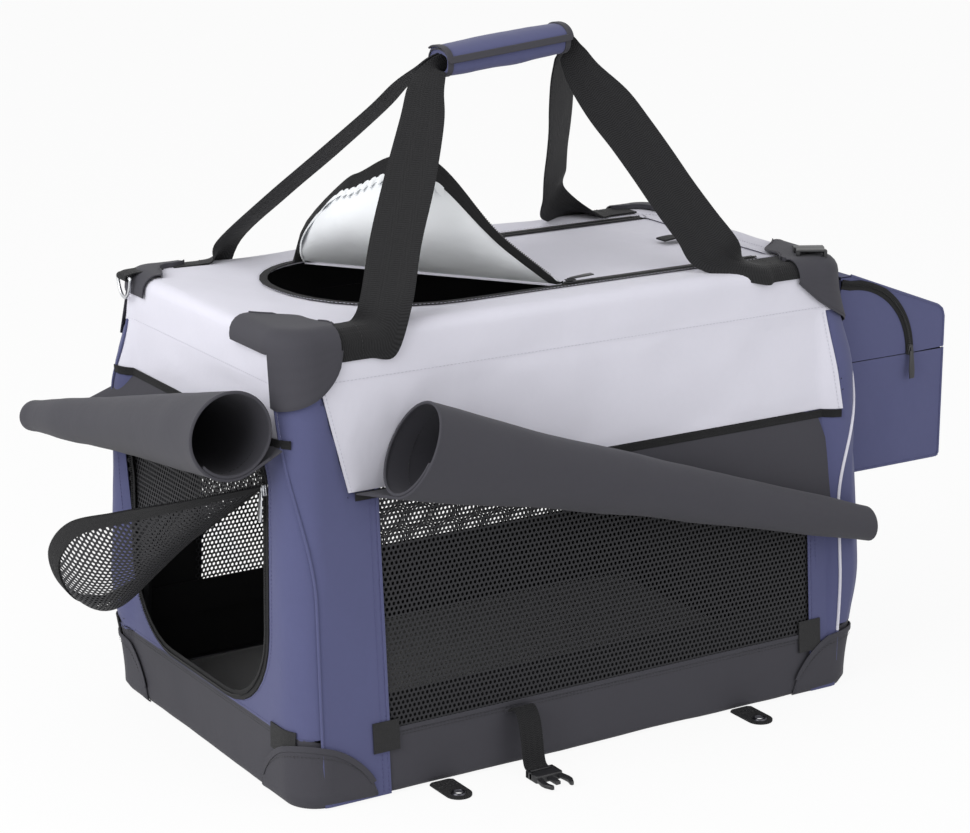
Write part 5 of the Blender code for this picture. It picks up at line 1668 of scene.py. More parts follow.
class CRATE_OT_roof(bpy.types.Operator):
    """The lilac roof with its turned-down border, its zipped panel, black zip tapes and teeth"""

    bl_idname = "crate.roof"
    bl_label = "Roof"

    def execute(self, context):
        grid = roof_grid()
        last, inset = len(grid) - 1, 11
        tailored("Roof_cover", grid, [lilac(), lining()], "top_cover", hold=on_body, body="top",
                 on=("top_frame",), closed=True, puff=0.0034, size=0.08, seed=29,
                 bulge=lambda r: -0.0022 * eased((r - inset) / (last - inset)))
        tailored("Roof_panel", panel_grid(), [lilac(), silver()], "roof_door_panel", hold=on_body,
                 body="top", on=("Roof_cover",), puff=0.0024, size=0.07, seed=31,
                 bulge=lambda r: -0.0020)
        _, right, low, high = ROOF_BOX
        ring = [p for p in rounded_box(grown_box(ROOF_BOX, 0.0030), ROOF_RADII, 60, 36)
                if p[0] < right - (0.027 if p[1] < 0 else 0.012)]
        start = next(k for k, p in enumerate(ring) if math.dist(ring[k - 1], p) > 0.05)
        on_body(flat_band("Roof_zip_tape", ring[start:] + ring[:start], 0.0042, black_tape()),
                body="top")
        hinge = (straight((right - 0.0262, low), (right, low), 8)
                 + straight((right, low), (right, high), 40)[1:-1]
                 + straight((right, high), (right - 0.0122, high), 6))
        on_body(flat_band("Roof_hinge", hinge, 0.0050, lilac()), body="top")
        tapes, teeth = [], []
        for y, edge, left, start, end in (
                (low, low + 0.0042, ROOF_FOLD[0].x, ROOF_FOLD[0].x + 0.012, right - 0.0252),
                (high, high - 0.0042, ROOF_FOLD[1].x, ROOF_FOLD[1].x, right - 0.0102)):
            tapes.append(flat_band("Panel_tape", straight((left + 0.003, edge), (end, edge), 60),
                                   0.0040, black_tape()))
            teeth.append(at_height(straight((start, y), (end, y), 60), HEIGHT + 0.0005))
        on_body(merged("Roof_panel_tape", tapes), body="top")
        on_body(zip_teeth("Roof_zip_teeth", teeth), body="top")
        seam = [s[3](TOP_SEAM + 0.0035, -0.0003) for s in ring_stations()]
        out = 0.0095
        ring = at_height(rounded_box(grown_box(ROOF_BOX, out), [r + out for r in ROOF_RADII], 60, 36),
                         HEIGHT + 0.0003)
        on_body(stitched("Roof_stitches", [seam + seam[:1], ring + ring[:1]], "Pale thread"),
                body="top")
        return {"FINISHED"}


class CRATE_OT_patches(bpy.types.Operator):
    """Charcoal wear patches over the roof's corners, hemmed and sewn"""

    bl_idname = "crate.patches"
    bl_label = "Corner patches"

    def execute(self, context):
        lines = []
        for name, sx, sy in CORNERS:
            grid = patch_grid(sx, sy)
            tailored("Patch_" + name, grid, [charcoal()], "top_patch_" + name, hold=on_body,
                     body="top", on=("Roof_cover",), thickness=0.0013, flip=sx * sy < 0,
                     puff=0.0008, seed=37)
            for label, row, inset in (("low", grid[0], grid[1]), ("high", grid[-1], grid[-2])):
                on_body(band(f"Patch_hem_{label}_{name}", [p + outward_at(p) * 0.0003 for p in row],
                             0.0026, charcoal(), 0.0013), body="top")
                middle = [a.lerp(b, 0.5) for a, b in zip(row, inset)]
                lines.append([p + outward_at(p) * 0.0006 for p in middle])
        on_body(stitched("Patch_stitches", lines, "Dark thread"), body="top")
        return {"FINISHED"}


class CRATE_OT_roof_flap(bpy.types.Operator):
    """The peeled-back roof door: lilac outside, silver inside, bound in black zip tape"""

    bl_idname = "crate.roof_flap"
    bl_label = "Roof door"

    def execute(self, context):
        across = spread(0.0, 1.0, 70)
        grid = [[flap_spot(t, s) for t in across] for s in spread(0.0, 0.985, 26)]
        tailored("Roof_door", grid, [lilac(), silver()], "roof_flap", hold=on_body,
                 body="roof_flap", slot="silver_lining", held="hung", on=("Roof_panel",),
                 thickness=0.0012, puff=0.0030, size=0.06, seed=41)
        rows = rim_rows(flap_spot, across, FLAP_BINDING, 5, 0.0009, 0.004)
        tailored("Roof_door_binding", rows, [black_tape()], hold=on_body, body="roof_flap",
                 on=("Roof_door",), thickness=0.0032, puff=0.0004, seed=43, hem=1)
        gather = []
        for level in spread(0.0, 1.0, 4):
            row = []
            for c, t in enumerate(spread(0.36, 0.985, 150)):
                wave = math.sin(2 * math.pi * c / 11.5)
                width = lerp(FLAP_BINDING - 0.002, FLAP_BINDING + 0.0065 + 0.0022 * wave, level)
                share = min(width / max(reach_at(flap_spot, t), 0.004), 0.95)
                row.append(flap_spot(t, 1 - share, -0.0021 - 0.0016 * level * (1 + wave)))
            gather.append(row)
        tailored("Roof_door_frill", gather, [silver()], hold=on_body, body="roof_flap",
                 held="gathered", on=("Roof_door",), thickness=0.0006, hem=0)
        spine = [flap_spot(t, 1.0, 0.0006) for t in spread(0.03, 0.985, 70)]
        on_body(zip_teeth("Roof_door_teeth", [spine]), body="roof_flap")
        return {"FINISHED"}


# Carrying straps and the padded grip

DOOR_EDGES = (-0.016, 0.034)
REAR_EDGES = (-0.001, 0.049)
GRIP_X = (-0.055, 0.090)
GRIP_ENDS = (GRIP_X[0] + 0.001, GRIP_X[1] - 0.001)
GRIP_HALF = (0.0215, 0.0150)
GRIP_POWER = 0.80
DOOR_FEET = ((-0.283, -0.283, 0.0019), (-0.262, -0.262, 0.0019), (-0.238, -0.250, 0.0019),
             (-0.212, -0.240, 0.0045))
REAR_FEET = ((0.283, 0.283, 0.0019), (0.262, 0.262, 0.0019), (0.240, 0.248, 0.0019),
             (0.222, 0.232, 0.0040))
DOOR_LEG = ((-0.2125, 0.165, 0.480, 0.025), (-0.178, 0.125, 0.529, 0.025),
            (-0.139, 0.085, 0.577, 0.025), (-0.101, 0.045, 0.626, 0.022),
            (-0.085, 0.025, 0.652, 0.0185), (-0.070, 0.012, 0.668, 0.014))
REAR_LEG = ((0.184, 0.155, 0.478, 0.025), (0.171, 0.133, 0.506, 0.025),
            (0.158, 0.111, 0.535, 0.025), (0.147, 0.089, 0.564, 0.025),
            (0.135, 0.067, 0.593, 0.025), (0.121, 0.045, 0.622, 0.025),
            (0.105, 0.023, 0.651, 0.019), (0.098, 0.010, 0.672, 0.014))
DOOR_TWIST = (-0.82, -0.554, 0.142)
REAR_TWIST = (0.767, 0.285, 0.567)
LAP_TURNS = (34, 166)


def grip_z(x):
    return 0.680 + 0.090 * (x - (GRIP_X[0] + GRIP_X[1]) / 2)


def strap_keys(sy, share):
    """Places along one strap, from the door end over the grip to the rear, at a share across."""
    def foot(low, high, lift):
        edges = DOOR_EDGES if low < 0 else REAR_EDGES
        depth, z = rim_profile(lift, lerp(*edges, share))
        return long_spot(sy, lerp(low, high, share), z, depth)

    def hanging(x, y, z, half, twist):
        across = Vector((twist[0], sy * twist[1], twist[2])).normalized()
        return Vector((x, sy * y, z)) + across * (half * (2 * share - 1))

    held = [hanging(x, 0.0045, grip_z(x), half, UP)
            for x, half in ((-0.052, 0.0095), (0.0175, 0.0090), (0.088, 0.0095))]
    return ([foot(*f) for f in DOOR_FEET] + [hanging(*m, DOOR_TWIST) for m in DOOR_LEG] + held
            + [hanging(*m, REAR_TWIST) for m in REAR_LEG[::-1]] + [foot(*f) for f in REAR_FEET[::-1]])


class CRATE_OT_straps(bpy.types.Operator):
    """Two ribbed webbing straps, sewn to the roof, that meet in the grip"""

    bl_idname = "crate.straps"
    bl_label = "Carrying straps"

    def execute(self, context):
        lines = []
        for side, sy in SIDES:
            grid = [eased_curve(strap_keys(sy, share)) for share in spread(0.0, 1.0, 8)]
            strap = cloth(side.capitalize() + "_strap", grid, [black_webbing()], 0.0018,
                          flip=sy > 0)
            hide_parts("carry_strap_" + side)
            flat_size(grid)[0]
            grid_area(grid)
            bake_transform(strap)
            for sx, x, edges in ((-1, 0.246, DOOR_EDGES), (1, 0.250, REAR_EDGES)):
                rim = [rim_profile(0.0021, lerp(*edges, share)) for share in spread(0.08, 0.92, 9)]
                lines += [[long_spot(sy, sx * at, z, depth) for depth, z in rim]
                          for at in (x, x + 0.030)]
        on_body(stitched("Strap_stitches", lines, "Black thread"), body="top")
        return {"FINISHED"}


def grip_ring(x, count=48):
    """Round the grip at x, from its far side up and over."""
    swell = 1.0 - 0.10 * abs(2 * (x - GRIP_X[0]) / (GRIP_X[1] - GRIP_X[0]) - 1) ** 3
    wide, tall = (half * swell for half in GRIP_HALF)
    return [Vector((x, wide * math.copysign(abs(cy) ** GRIP_POWER, cy),
                    grip_z(x) + tall * math.copysign(abs(cz) ** GRIP_POWER, cz)))
            for cy, cz in around(count)]


def off_grip(p, x):
    """Away from the grip's middle at x."""
    return Vector((0, p.y, p.z - grip_z(x))).normalized()


def lap_spot(x, turn, lift):
    """On the grip's upper side, turn degrees from the far side over to the near one."""
    spot = grip_ring(x, 360)[round(turn) % 360]
    return spot + off_grip(spot, x) * lift


class CRATE_OT_grip(bpy.types.Operator):
    """The padded blue grip that wraps both straps, bound in dark tape and lapped along its top"""

    bl_idname = "crate.grip"
    bl_label = "Grip"

    def execute(self, context):
        grip = cloth("Grip_pad", [grip_ring(x) for x in spread(*GRIP_ENDS, 30)],
                     [blue(), lining()], 0.0048, closed=True, puff=0.0014, size=0.035, seed=61, hem=2)
        on_body(grip, "handle_grip", body="handle")
        parts = []
        for x in (GRIP_X[0] + 0.0025, GRIP_X[1] - 0.0025):
            rows = [[p + off_grip(p, x) * 0.0009 for p in grip_ring(x + step)]
                    for step in spread(-0.0030, 0.0030, 3)]
            parts.append(cloth("Grip_end", rows, [charcoal()], 0.0012, closed=True, hem=0))
        on_body(merged("Grip_bindings", parts), body="handle")
        turns = spread(*LAP_TURNS, 16)
        rows = [[lap_spot(x, turn, 0.0028) for x in spread(*GRIP_ENDS, 40)] for turn in turns]
        tailored("Grip_lap", rows, [blue()], hold=on_body, body="handle", held="folded",
                 on=("Grip_pad",), thickness=0.0016, flip=True, puff=0.0008, size=0.03, seed=63)
        first, last = GRIP_ENDS
        lift = 0.0034
        edge = [lap_spot(first, turn, lift) for turn in turns[2:]]
        edge += [lap_spot(x, turns[-1] + 1.0, lift) for x in spread(first + 0.004, last - 0.004, 30)]
        edge += [lap_spot(last, turn, lift) for turn in turns[:1:-1]]
        on_body(band("Grip_lap_binding", smooth_path(edge, 120), 0.0036, charcoal(), 0.0020,
                     lambda p: off_grip(p, p.x)), body="handle")
        return {"FINISHED"}


# Tabs, ring, buckles and hook squares

GROUND_TAB_X = 0.183
GROUND_TAB_Y = (BASE_HALF[1] - 0.001, BASE_HALF[1] + 0.048)
GROUND_TAB_HALF = 0.0135
EYELET = ((0.0046, 0.0004), (0.0046, 0.0030), (0.0052, 0.0036), (0.0066, 0.0034),
          (0.0076, 0.0022), (0.0076, 0.0004))
HOOK_SQUARES = (("near_door", long_spot, -0.2415, 0.0605, 0.0145, 0.0152),
                ("near_rear", long_spot, 0.2760, 0.0640, 0.0140, 0.0170),
                ("door_near", end_spot, -0.1715, 0.0640, 0.0200, 0.0130),
                ("door_far", end_spot, 0.2010, 0.0670, 0.0150, 0.0140))


class CRATE_OT_tabs(bpy.types.Operator):
    """Webbing tabs with eyelets for ground stakes, and the hook squares for the covers"""

    bl_idname = "crate.tabs"
    bl_label = "Ground tabs and hook squares"

    def execute(self, context):
        lines = []
        root, tip = GROUND_TAB_Y
        half = GROUND_TAB_HALF
        for name, sx, sy in CORNERS:
            x, y = sx * GROUND_TAB_X, sy * (tip - half)
            rows = []
            for share in spread(0.0, 1.0, 5):
                row = []
                for cu, cv in around(48):
                    edge = half if cv >= 0 else min(half / max(abs(cu), 1e-6),
                                                    (tip - half - root) / max(-cv, 1e-6))
                    reach = lerp(0.0048, edge, share)
                    row.append(Vector((x + cu * reach, y + sy * cv * reach, 0.0021)))
                rows.append(row)
            tailored("Ground_tab_" + name, rows, [black_webbing()], "ground_tab_" + name,
                     hold=on_body, held="laid", closed=True, thickness=0.0017, flip=sy > 0, hem=0)
            stations = [((x, y, 0), Vector((cu, cv, 0)), UP) for cu, cv in around(32)]
            on_body(sweep("Eyelet_" + name, stations, EYELET,
                          plated("Black nickel", (0.07, 0.07, 0.08), 0.35), closed=True))
            box = [Vector((x + a, sy * (BASE_HALF[1] + b), 0.0022)) for a, b in
                   ((-0.010, 0.005), (0.010, 0.005), (0.010, 0.015), (-0.010, 0.015))]
            lines += [box + box[:1], box[::2], box[1::2]]
        on_body(stitched("Tab_stitches", lines, "Black thread"))
        for name, spot, t, z, half, tall in HOOK_SQUARES:
            grid = [[spot(-1, u, level, -0.0020) for u in spread(t - half, t + half, 6)]
                    for level in spread(z - tall, z + tall, 4)]
            tailored("Hook_square_" + name, grid, [hook_tape("Hook tape")], "hook_square_" + name,
                     hold=on_body, thickness=0.0013, flip=spot is end_spot, hem=0)
        return {"FINISHED"}


def sided(sx, outline):
    """An outline on the left or right of its middle line."""
    return [(sx * u, v) for u, v in outline]


def moulding(name, x, y, plates):
    """Plastic plates about a place, joined; each is (outline, low, high, round_off)."""
    return merged(name, [rounded_plate(name, [(x + u, y + v) for u, v in outline], low, high,
                                       plastic(), round_off)
                         for outline, low, high, round_off in plates])


PLUG = (-0.090, -0.2465)
PLUG_BAR = ((-0.0155, 0.0), (-0.0155, -0.0040), (0.0155, -0.0040), (0.0155, 0.0))
PLUG_BODY = ((-0.0155, -0.0070), (-0.0155, -0.0185), (-0.0130, -0.0205), (0.0130, -0.0205),
             (0.0155, -0.0185), (0.0155, -0.0070))
PLUG_SIDE = ((0.0118, -0.0010), (0.0155, -0.0010), (0.0155, -0.0100), (0.0118, -0.0100))
PLUG_ARM = ((0.0090, -0.0180), (0.0148, -0.0180), (0.0170, -0.0300), (0.0164, -0.0360),
            (0.0128, -0.0435), (0.0104, -0.0440), (0.0094, -0.0415), (0.0112, -0.0350),
            (0.0108, -0.0290))
PLUG_TONGUE = ((-0.0030, -0.0180), (0.0030, -0.0180), (0.0026, -0.0355), (-0.0026, -0.0355))
CLOSING_PATH = ((-0.2070, 0.0560), (-0.2115, 0.0600), (-0.2170, 0.0625), (-0.2225, 0.0600),
                (-0.2290, 0.0510), (-0.2335, 0.0340), (-0.2365, 0.0170), (-0.2400, 0.0082),
                (-0.2470, 0.0056), (-0.2520, 0.0050))


class CRATE_OT_closing(bpy.types.Operator):
    """The strap that ties the folded crate, with the plug half of its buckle"""

    bl_idname = "crate.closing"
    bl_label = "Closing strap"

    def execute(self, context):
        x, y = PLUG
        points = smooth_path([(x, run, z) for run, z in CLOSING_PATH], 60)
        strap = strap_along("Closing_strap", points, Vector((1, 0, 0)), 0.0128, 0.0017, -1.0)
        on_body(strap, "closing_strap")
        slot = on_long(-1, straight((x - 0.0155, 0.0572), (x + 0.0155, 0.0572), 20), 0.0004)
        on_body(band("Closing_slot", slot, 0.0024, charcoal(), 0.0014))
        deep, thin = (0.0004, 0.0084), (0.0022, 0.0064)
        plates = [(PLUG_BAR, *deep, 0.0010), (PLUG_BODY, *deep, 0.0010)]
        for sx in (-1, 1):
            plates += [(sided(sx, PLUG_SIDE), *deep, 0.0008), (sided(sx, PLUG_ARM), *thin, 0.0007)]
        plates.append((PLUG_TONGUE, *thin, 0.0007))
        on_body(moulding("Closing_plug", x, y, plates), "closing_buckle")
        return {"FINISHED"}


RING_BAR = (-0.3395, 0.150, 0.4585)
RING_SIZE = (0.0145, 0.0215)


class CRATE_OT_ring(bpy.types.Operator):
    """Steel D-ring in its webbing tab, and the loop tab in the middle of the rear edge"""

    bl_idname = "crate.ring"
    bl_label = "D-ring"

    def execute(self, context):
        x, y, z = RING_BAR
        half, drop = RING_SIZE
        points = [(x, y + half * share, z) for share in spread(-1.0, 1.0, 4)]
        points += [(x, y + half * math.cos(turn), z - drop * math.sin(turn))
                   for turn in spread(0.0, math.pi, 14)[1:-1]]
        stations = stations_along(smooth_path(points, 90, True), lambda p: (1, 0, 0), True)
        on_body(sweep("D_ring", stations, round_section(0.0017, 12), plated("Ring steel"), True),
                "d_ring", body="ring")
        lie = HEIGHT + 0.0034
        path = [(-0.300, lie), (-0.312, lie), (-0.324, lie - 0.0002), (-0.3335, lie - 0.0006)]
        path += [(x + 0.0031 * math.cos(turn), z + 0.0031 * math.sin(turn))
                 for turn in map(math.radians, range(80, 291, 30))]
        points = smooth_path([(u, y, w) for u, w in path], 60)
        tab = strap_along("Ring_tab", points, Vector((0, 1, 0)), 0.0105, 0.0015)
        on_body(tab, "ring_tab", body="top")
        stations = [((0.248 - 0.030 * t, -0.005, HEIGHT + 0.0022 + 0.0012 * math.sin(math.pi * t)),
                     Vector((0, 1, 0)), UP) for t in spread(0.0, 1.0, 12)]
        loop = sweep("Roof_tab", stations, tape_section(0.0085, 0.0018), black_webbing(),
                     turn_map=True)
        on_body(loop, body="top")
        return {"FINISHED"}


SOCKET = (0.3055, -0.150, 0.4620)
SOCKET_SKEW = math.radians(-28)
SOCKET_FACE = ((-0.0160, 0.0100), (-0.0160, 0.0010), (-0.0148, -0.0010), (-0.0148, -0.0080),
               (-0.0160, -0.0100), (-0.0160, -0.0160), (0.0160, -0.0160), (0.0160, -0.0100),
               (0.0148, -0.0080), (0.0148, -0.0010), (0.0160, 0.0010), (0.0160, 0.0100))
SOCKET_SIDES = ((-0.0160, -0.0095), (0.0005, 0.0100))
SOCKET_BACK = ((-0.0130, 0.0045), (0.0130, 0.0045), (0.0130, 0.0098), (-0.0130, 0.0098))


class CRATE_OT_socket(bpy.types.Operator):
    """The socket half of a side-release buckle, held over the near rear corner by its strap"""

    bl_idname = "crate.socket"
    bl_label = "Corner buckle"

    def execute(self, context):
        x, y, z = SOCKET
        low, high = z + 0.0002, z + 0.0090
        inner = (low + 0.0012, high - 0.0012, 0.0004)
        plates = [(SOCKET_FACE, high - 0.0021, high, 0.0007), (SOCKET_FACE, low, low + 0.0020, 0.0006)]
        plates += [(sided(sx, ((0.0128, v0), (0.0160, v0), (0.0160, v1), (0.0128, v1))), *inner)
                   for sx in (-1, 1) for v0, v1 in SOCKET_SIDES]
        socket = moulding("Corner_socket", x, y, [*plates, (SOCKET_BACK, *inner)])
        skew = Matrix.Translation((x, y, 0)) @ Matrix.Rotation(SOCKET_SKEW, 4, "Z") \
            @ Matrix.Translation((-x, -y, 0))
        socket.data.transform(skew)
        on_body(socket, "corner_buckle", body="top")
        across = Vector((math.cos(SOCKET_SKEW), math.sin(SOCKET_SKEW), 0.0))
        stations = [(skew @ Vector((x, y + 0.0100 + 0.026 * t,
                                    z + 0.0016 + 0.0026 * math.sin(math.pi * t))), across, UP)
                    for t in spread(0.0, 1.0, 14)]
        strap = sweep("Corner_strap", stations, tape_section(0.0125, 0.0017), black_webbing(),
                      turn_map=True)
        on_body(strap, "corner_strap", body="top")
        return {"FINISHED"}


# Pocket and zip sliders

POCKET_X = (0.3365, 0.482)
POCKET_HALF = 0.165
POCKET_Z = (0.220, 0.343, 0.438)
POCKET_ARC = (0.350, 0.343, 0.084)
BODY_RUN = ((0.3371, 0.434), (0.3371, 0.220), (0.4780, 0.220), (0.4814, 0.224), (0.4814, 0.3422))
BODY_SEAM = ((0.3375, 0.221), (0.4780, 0.221), (0.4810, 0.224), (0.4810, 0.343))
LID_RUN = ((0.4816, 0.3438), (0.4816, 0.378), (0.4790, 0.386), (0.4730, 0.3915), (0.3502, 0.438))
LID_EDGE = ((0.4810, 0.344), (0.4810, 0.378), (0.4786, 0.386), (0.4728, 0.391), (0.3502, 0.4374))
LID_SEAM = ((0.4808, 0.345), (0.4808, 0.378), (0.4784, 0.386), (0.4724, 0.391), (0.3505, 0.438))


def even_run(spots, count):
    """(u, v) points at count even steps along straight runs between the given ones."""
    return evened([Vector(p) for p in spots], count + 1, count)


def zip_arc(radius, count):
    """(x, z) points round the pocket's zip, from its front to its top."""
    x, z, _ = POCKET_ARC
    return [(x + radius * math.cos(turn), z + radius * math.sin(turn))
            for turn in spread(0.0, math.pi / 2, count)]


def cheek_fan(sy, inner, outer, rows):
    """A flat cheek between two (x, z) runs of the same count."""
    return [[Vector((lerp(a[0], b[0], t), sy * POCKET_HALF, lerp(a[1], b[1], t)))
             for a, b in zip(inner, outer)] for t in spread(0.0, 1.0, rows)]


class CRATE_OT_pocket(bpy.types.Operator):
    """The blue storage pocket with its zipped lid and piped edges"""

    bl_idname = "crate.pocket"
    bl_label = "Pocket"

    def execute(self, context):
        low, seam, crest = POCKET_Z
        back, front = POCKET_X
        x_zip, z_zip, radius = POCKET_ARC
        half = POCKET_HALF
        ys = spread(-half, half, 56)
        mats = [blue(), lining()]
        for name, run, count, body, below, seed in (
                ("body", BODY_RUN, 70, "base", "Rear_wall", 71),
                ("lid", LID_RUN, 44, "pocket_lid", "Pocket_body", 73)):
            grid = [[Vector((x, y, z)) for y in ys] for x, z in even_run(run, count)]
            tailored("Pocket_" + name, grid, mats, "pocket_" + name, body=body, on=(below,),
                     puff=0.0022, size=0.07, seed=seed)
        teeth = []
        for side, sy in SIDES:
            grid = [[Vector((x, sy * half, z)) for x in spread(back + 0.001, front - 0.0008, 24)]
                    for z in spread(low + 0.0006, seam - 0.001, 20)]
            tailored("Pocket_cheek_" + side, grid, mats, on=("Pocket_body",), flip=sy > 0,
                     puff=0.0026, size=0.06, seed=75)
            arc = zip_arc(radius - 0.0030, 30)
            grid = cheek_fan(sy, [(back + 0.001, z) for _, z in arc], arc, 10)
            tailored("Pocket_inner_cheek_" + side, grid, mats, on=("Pocket_body",), flip=sy < 0,
                     puff=0.0016, size=0.06, seed=77)
            grid = cheek_fan(sy, zip_arc(radius + 0.0030, 30), even_run(LID_EDGE, 30), 8)
            tailored("Lid_cheek_" + side, grid, mats, body="pocket_lid", on=("Pocket_lid",),
                     flip=sy < 0, puff=0.0018, size=0.06, seed=79)
            y = sy * (half + 0.0006)
            line = [Vector((x, y, z)) for x, z in zip_arc(radius, 50)]
            line += [Vector((x, y, z_zip + radius + (x_zip - x) * 0.25))
                     for x in spread(x_zip, back + 0.0015, 5)[1:]]
            tape = band("Pocket_tape_" + side, line, 0.0052, black_tape(),
                        up_of=lambda p: (0, p.y, 0))
            on_wall(tape)
            teeth.append([p + Vector((0, sy * 0.0010, 0)) for p in line])
            for name, spots, body in (("low", BODY_SEAM, "base"), ("lid", LID_SEAM, "pocket_lid")):
                line = [(x, sy * (half - 0.0002), z) for x, z in even_run(spots, 60)]
                on_wall(piping(f"Pocket_piping_{name}_{side}", line, blue(), 0.0014), body=body)
        on_wall(zip_teeth("Pocket_teeth", teeth))
        xs = spread(back + 0.0006, back + 0.0135, 3)
        parts = [cloth("Gusset_top", [[Vector((x, y, crest - 0.0002)) for y in ys] for x in xs], mats,
                       flip=True, puff=0.0010, seed=81)]
        for sy in (-1, 1):
            grid = [[Vector((x, sy * half, z)) for x in xs]
                    for z in spread(z_zip + radius - 0.003, crest - 0.0006, 4)]
            parts.append(cloth("Gusset_side", grid, mats, flip=sy > 0, hem=0))
        on_wall(merged("Pocket_gusset", parts))
        line = [Vector((front + 0.0002, y, seam + 0.006)) for y in spread(0.006 - half, half - 0.006,
                                                                         60)]
        on_wall(stitched("Pocket_stitches", [line], "Blue thread"), body="pocket_lid")
        return {"FINISHED"}


def slider_at(name, place, along, up, finish, lean, reach):
    """A zip slider with its bridge and pull; along is the zip's way, up stands off the cloth."""
    along, up = Vector(along), Vector(up)
    turn = Matrix((along, along.cross(up), up)).transposed().to_4x4()
    body = [(-0.0055, -0.0026), (0.0040, -0.0044), (0.0055, -0.0036), (0.0055, 0.0036),
            (0.0040, 0.0044), (-0.0055, 0.0026)]
    pull = [(0.0, -0.0024), (reach * 0.7, -0.0038), (reach, -0.0032), (reach, 0.0032),
            (reach * 0.7, 0.0038), (0.0, 0.0024)]
    hung = Matrix.Translation((0.0010, 0, 0.0038)) @ Matrix.Rotation(lean, 4, "Y")
    parts = []
    for outline, low, high, round_off, move in (
            (body, 0.0, 0.0014, 0.0005, Matrix()),
            ([(u * 0.95, v * 0.95) for u, v in body], 0.0024, 0.0036, 0.0005, Matrix()),
            ([(-0.0045, -0.0010), (0.0035, -0.0010), (0.0035, 0.0010), (-0.0045, 0.0010)],
             0.0010, 0.0030, 0.0002, Matrix()),
            ([(-0.0030, -0.0011), (0.0025, -0.0011), (0.0025, 0.0011), (-0.0030, 0.0011)],
             0.0034, 0.0050, 0.0004, Matrix()),
            (pull, 0.0, 0.0014, 0.0005, hung)):
        parts.append(rounded_plate(name, outline, low, high, finish, round_off))
        parts[-1].data.transform(Matrix.Translation(place) @ turn @ move)
    return merged(name, parts)


class CRATE_OT_sliders(bpy.types.Operator):
    """Zip sliders of the roof door, the end door and the pocket"""

    bl_idname = "crate.sliders"
    bl_label = "Zip sliders"

    def execute(self, context):
        roof = slider_at("Roof_slider", (0.027, ROOF_BOX[2], HEIGHT + 0.0006), (1, 0, 0), (0, 0, 1),
                         plastic(), math.radians(-3), 0.026)
        on_body(roof, "roof_slider", body="roof_zip")
        z = 0.308
        door = slider_at("Door_slider", (-half_length(z) - 0.0008, DOOR_BOX[0], z), (0, 0, -1),
                         (-1, 0, 0), plated("Ring steel"), math.radians(-4), 0.030)
        on_wall(door, "door_slider", body="door_zip")
        x, z, radius = POCKET_ARC
        pocket = slider_at("Pocket_slider", (x + radius - 0.0006, -POCKET_HALF - 0.0006, z + 0.004),
                           (0, 0, -1), (0, -1, 0), plastic(), math.radians(-4), 0.030)
        on_wall(pocket, "pocket_slider", body="pocket_zip")
        return {"FINISHED"}


# Floor, and the parts that keep their solid shape

PAD_HALF = (0.299, 0.183)
PAD_LOW = 0.0062
PAD_TALLEST = 0.01675
PAD_LEVELS = ((0.0, 0.985), (0.002, 1.0), (0.008, 1.0), (0.0125, 0.975))
FRAME_NODES = ("base_frame", "top_frame", "door_lower_hoop", "door_upper_hoop", "rear_lower_hoop",
               "rear_upper_hoop")


def puffed(pad, pressure):
    """Blows a closed pad up a little by a short cloth simulation."""
    even = pad.modifiers.new("even", "REMESH")
    even.mode = "VOXEL"
    even.voxel_size = 0.0045
    blown = pad.modifiers.new("blow", "CLOTH")
    blown.settings.use_pressure = True
    blown.settings.uniform_pressure_force = pressure
    blown.settings.effector_weights.gravity = 0.0
    blown.settings.tension_stiffness = 30
    blown.settings.quality = 6
    blown.point_cache.frame_start, blown.point_cache.frame_end = 1, 20
    scene = bpy.context.scene
    for number in range(1, 13):
        scene.frame_set(number)
    graph = bpy.context.evaluated_depsgraph_get()
    mesh = bpy.data.meshes.new_from_object(pad.evaluated_get(graph))
    pad.modifiers.clear()
    pad.data = mesh
    scene.frame_set(1)


def settled(pad):
    """Keeps a blown pad on its board and inside its outline."""
    wide, deep = (half + 0.001 for half in PAD_HALF)
    for v in pad.data.vertices:
        x, y, z = v.co
        v.co = (clamp(x, -wide, wide), clamp(y, -deep, deep),
                clamp(z, PAD_LOW, PAD_LOW + PAD_TALLEST))
    pad.data.update()
    pad.data.shade_smooth()


class CRATE_OT_floor(bpy.types.Operator):
    """The fleece floor pad, blown up by a short cloth simulation"""

    bl_idname = "crate.floor"
    bl_label = "Floor"

    def execute(self, context):
        wide, deep = PAD_HALF
        outline = rounded_box((-wide, wide, -deep, deep), (0.018,) * 4, 26, 16)
        count = len(outline)
        verts = [(x * share, y * share, PAD_LOW + rise) for rise, share in PAD_LEVELS
                 for x, y in outline]
        faces = [(r + c, r + (c + 1) % count, r + count + (c + 1) % count, r + count + c)
                 for r in range(0, 3 * count, count) for c in range(count)]
        faces += [tuple(range(count))[::-1], tuple(range(3 * count, 4 * count))]
        pad = mended(new_piece("Floor_pad", verts, faces, [fleece("Dark fleece")]))
        puffed(pad, 2.0)
        settled(pad)
        on_body(pad, "floor_mat", slot="dark_fleece")
        return {"FINISHED"}


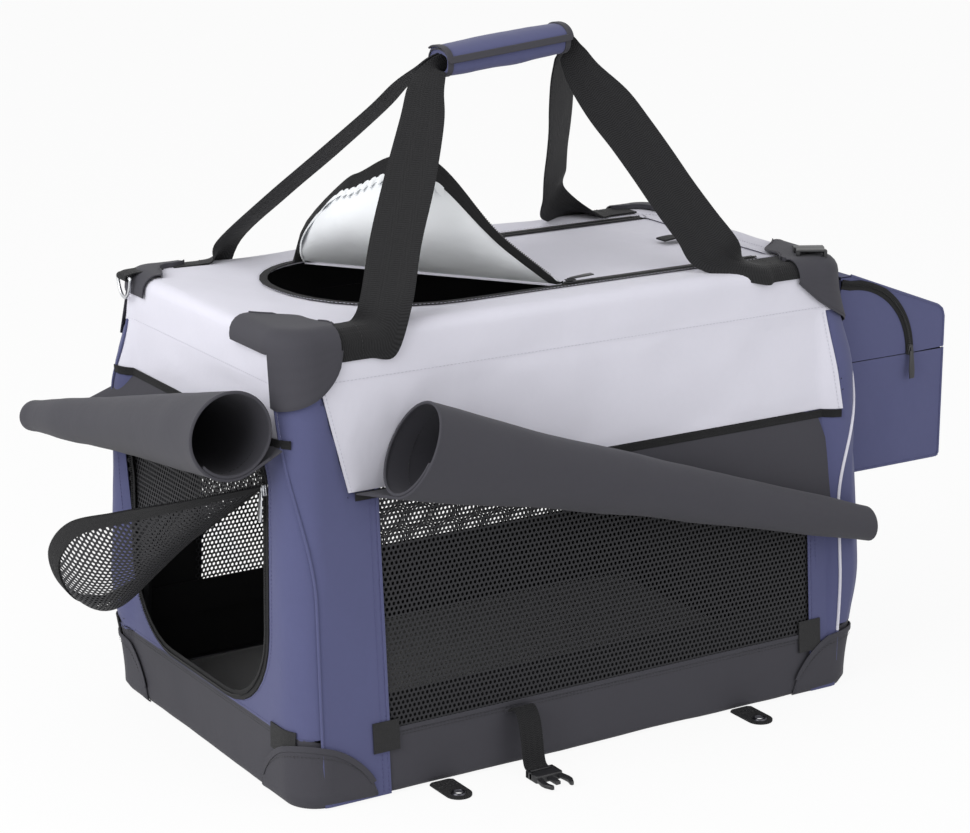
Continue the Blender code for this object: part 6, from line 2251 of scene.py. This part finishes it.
class CRATE_OT_frame(bpy.types.Operator):
    """Finishes of the parts that show as they are: steel tubes and the floor board"""

    bl_idname = "crate.frame"
    bl_label = "Frame finishes"

    def execute(self, context):
        finishes = dict.fromkeys(FRAME_NODES, plated("Frame steel", (0.055, 0.056, 0.060), 0.42))
        finishes["base_board"] = moulded("Board", (0.02, 0.02, 0.02), 0.7)
        for name, finish in finishes.items():
            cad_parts[name].material_slots[0].material = finish
        return {"FINISHED"}


# Running it all

MAKERS = (CRATE_OT_stage, CRATE_OT_frame, CRATE_OT_base, CRATE_OT_floor, CRATE_OT_walls,
          CRATE_OT_valances, CRATE_OT_nets, CRATE_OT_door_flap, CRATE_OT_covers, CRATE_OT_roof,
          CRATE_OT_patches, CRATE_OT_roof_flap, CRATE_OT_straps, CRATE_OT_grip, CRATE_OT_tabs,
          CRATE_OT_closing, CRATE_OT_ring, CRATE_OT_socket, CRATE_OT_pocket, CRATE_OT_sliders)


class CRATE_PT_panel(bpy.types.Panel):
    """Lists the crate's makers"""

    bl_idname = "CRATE_PT_panel"
    bl_label = "Pet travel crate"
    bl_space_type = "VIEW_3D"
    bl_region_type = "UI"
    bl_category = "Crate"

    def draw(self, context):
        for group in (context.scene.crate_sizes, context.scene.crate_colours):
            for key in group.__annotations__:
                self.layout.prop(group, key)
        for maker in MAKERS:
            self.layout.operator(maker.bl_idname)


REGISTERED = (CrateSizes, CrateColours, *MAKERS, CRATE_PT_panel)


def register():
    for item in REGISTERED:
        bpy.utils.register_class(item)
    bpy.types.Scene.crate_sizes = PointerProperty(type=CrateSizes)
    bpy.types.Scene.crate_colours = PointerProperty(type=CrateColours)


def unregister():
    del bpy.types.Scene.crate_colours
    del bpy.types.Scene.crate_sizes
    for item in reversed(REGISTERED):
        bpy.utils.unregister_class(item)


def main():
    register()
    for maker in MAKERS:
        group, call = maker.bl_idname.split(".")
        if getattr(getattr(bpy.ops, group), call)() != {"FINISHED"}:
            raise RuntimeError(maker.bl_label)


if __name__ == "__main__":
    main()
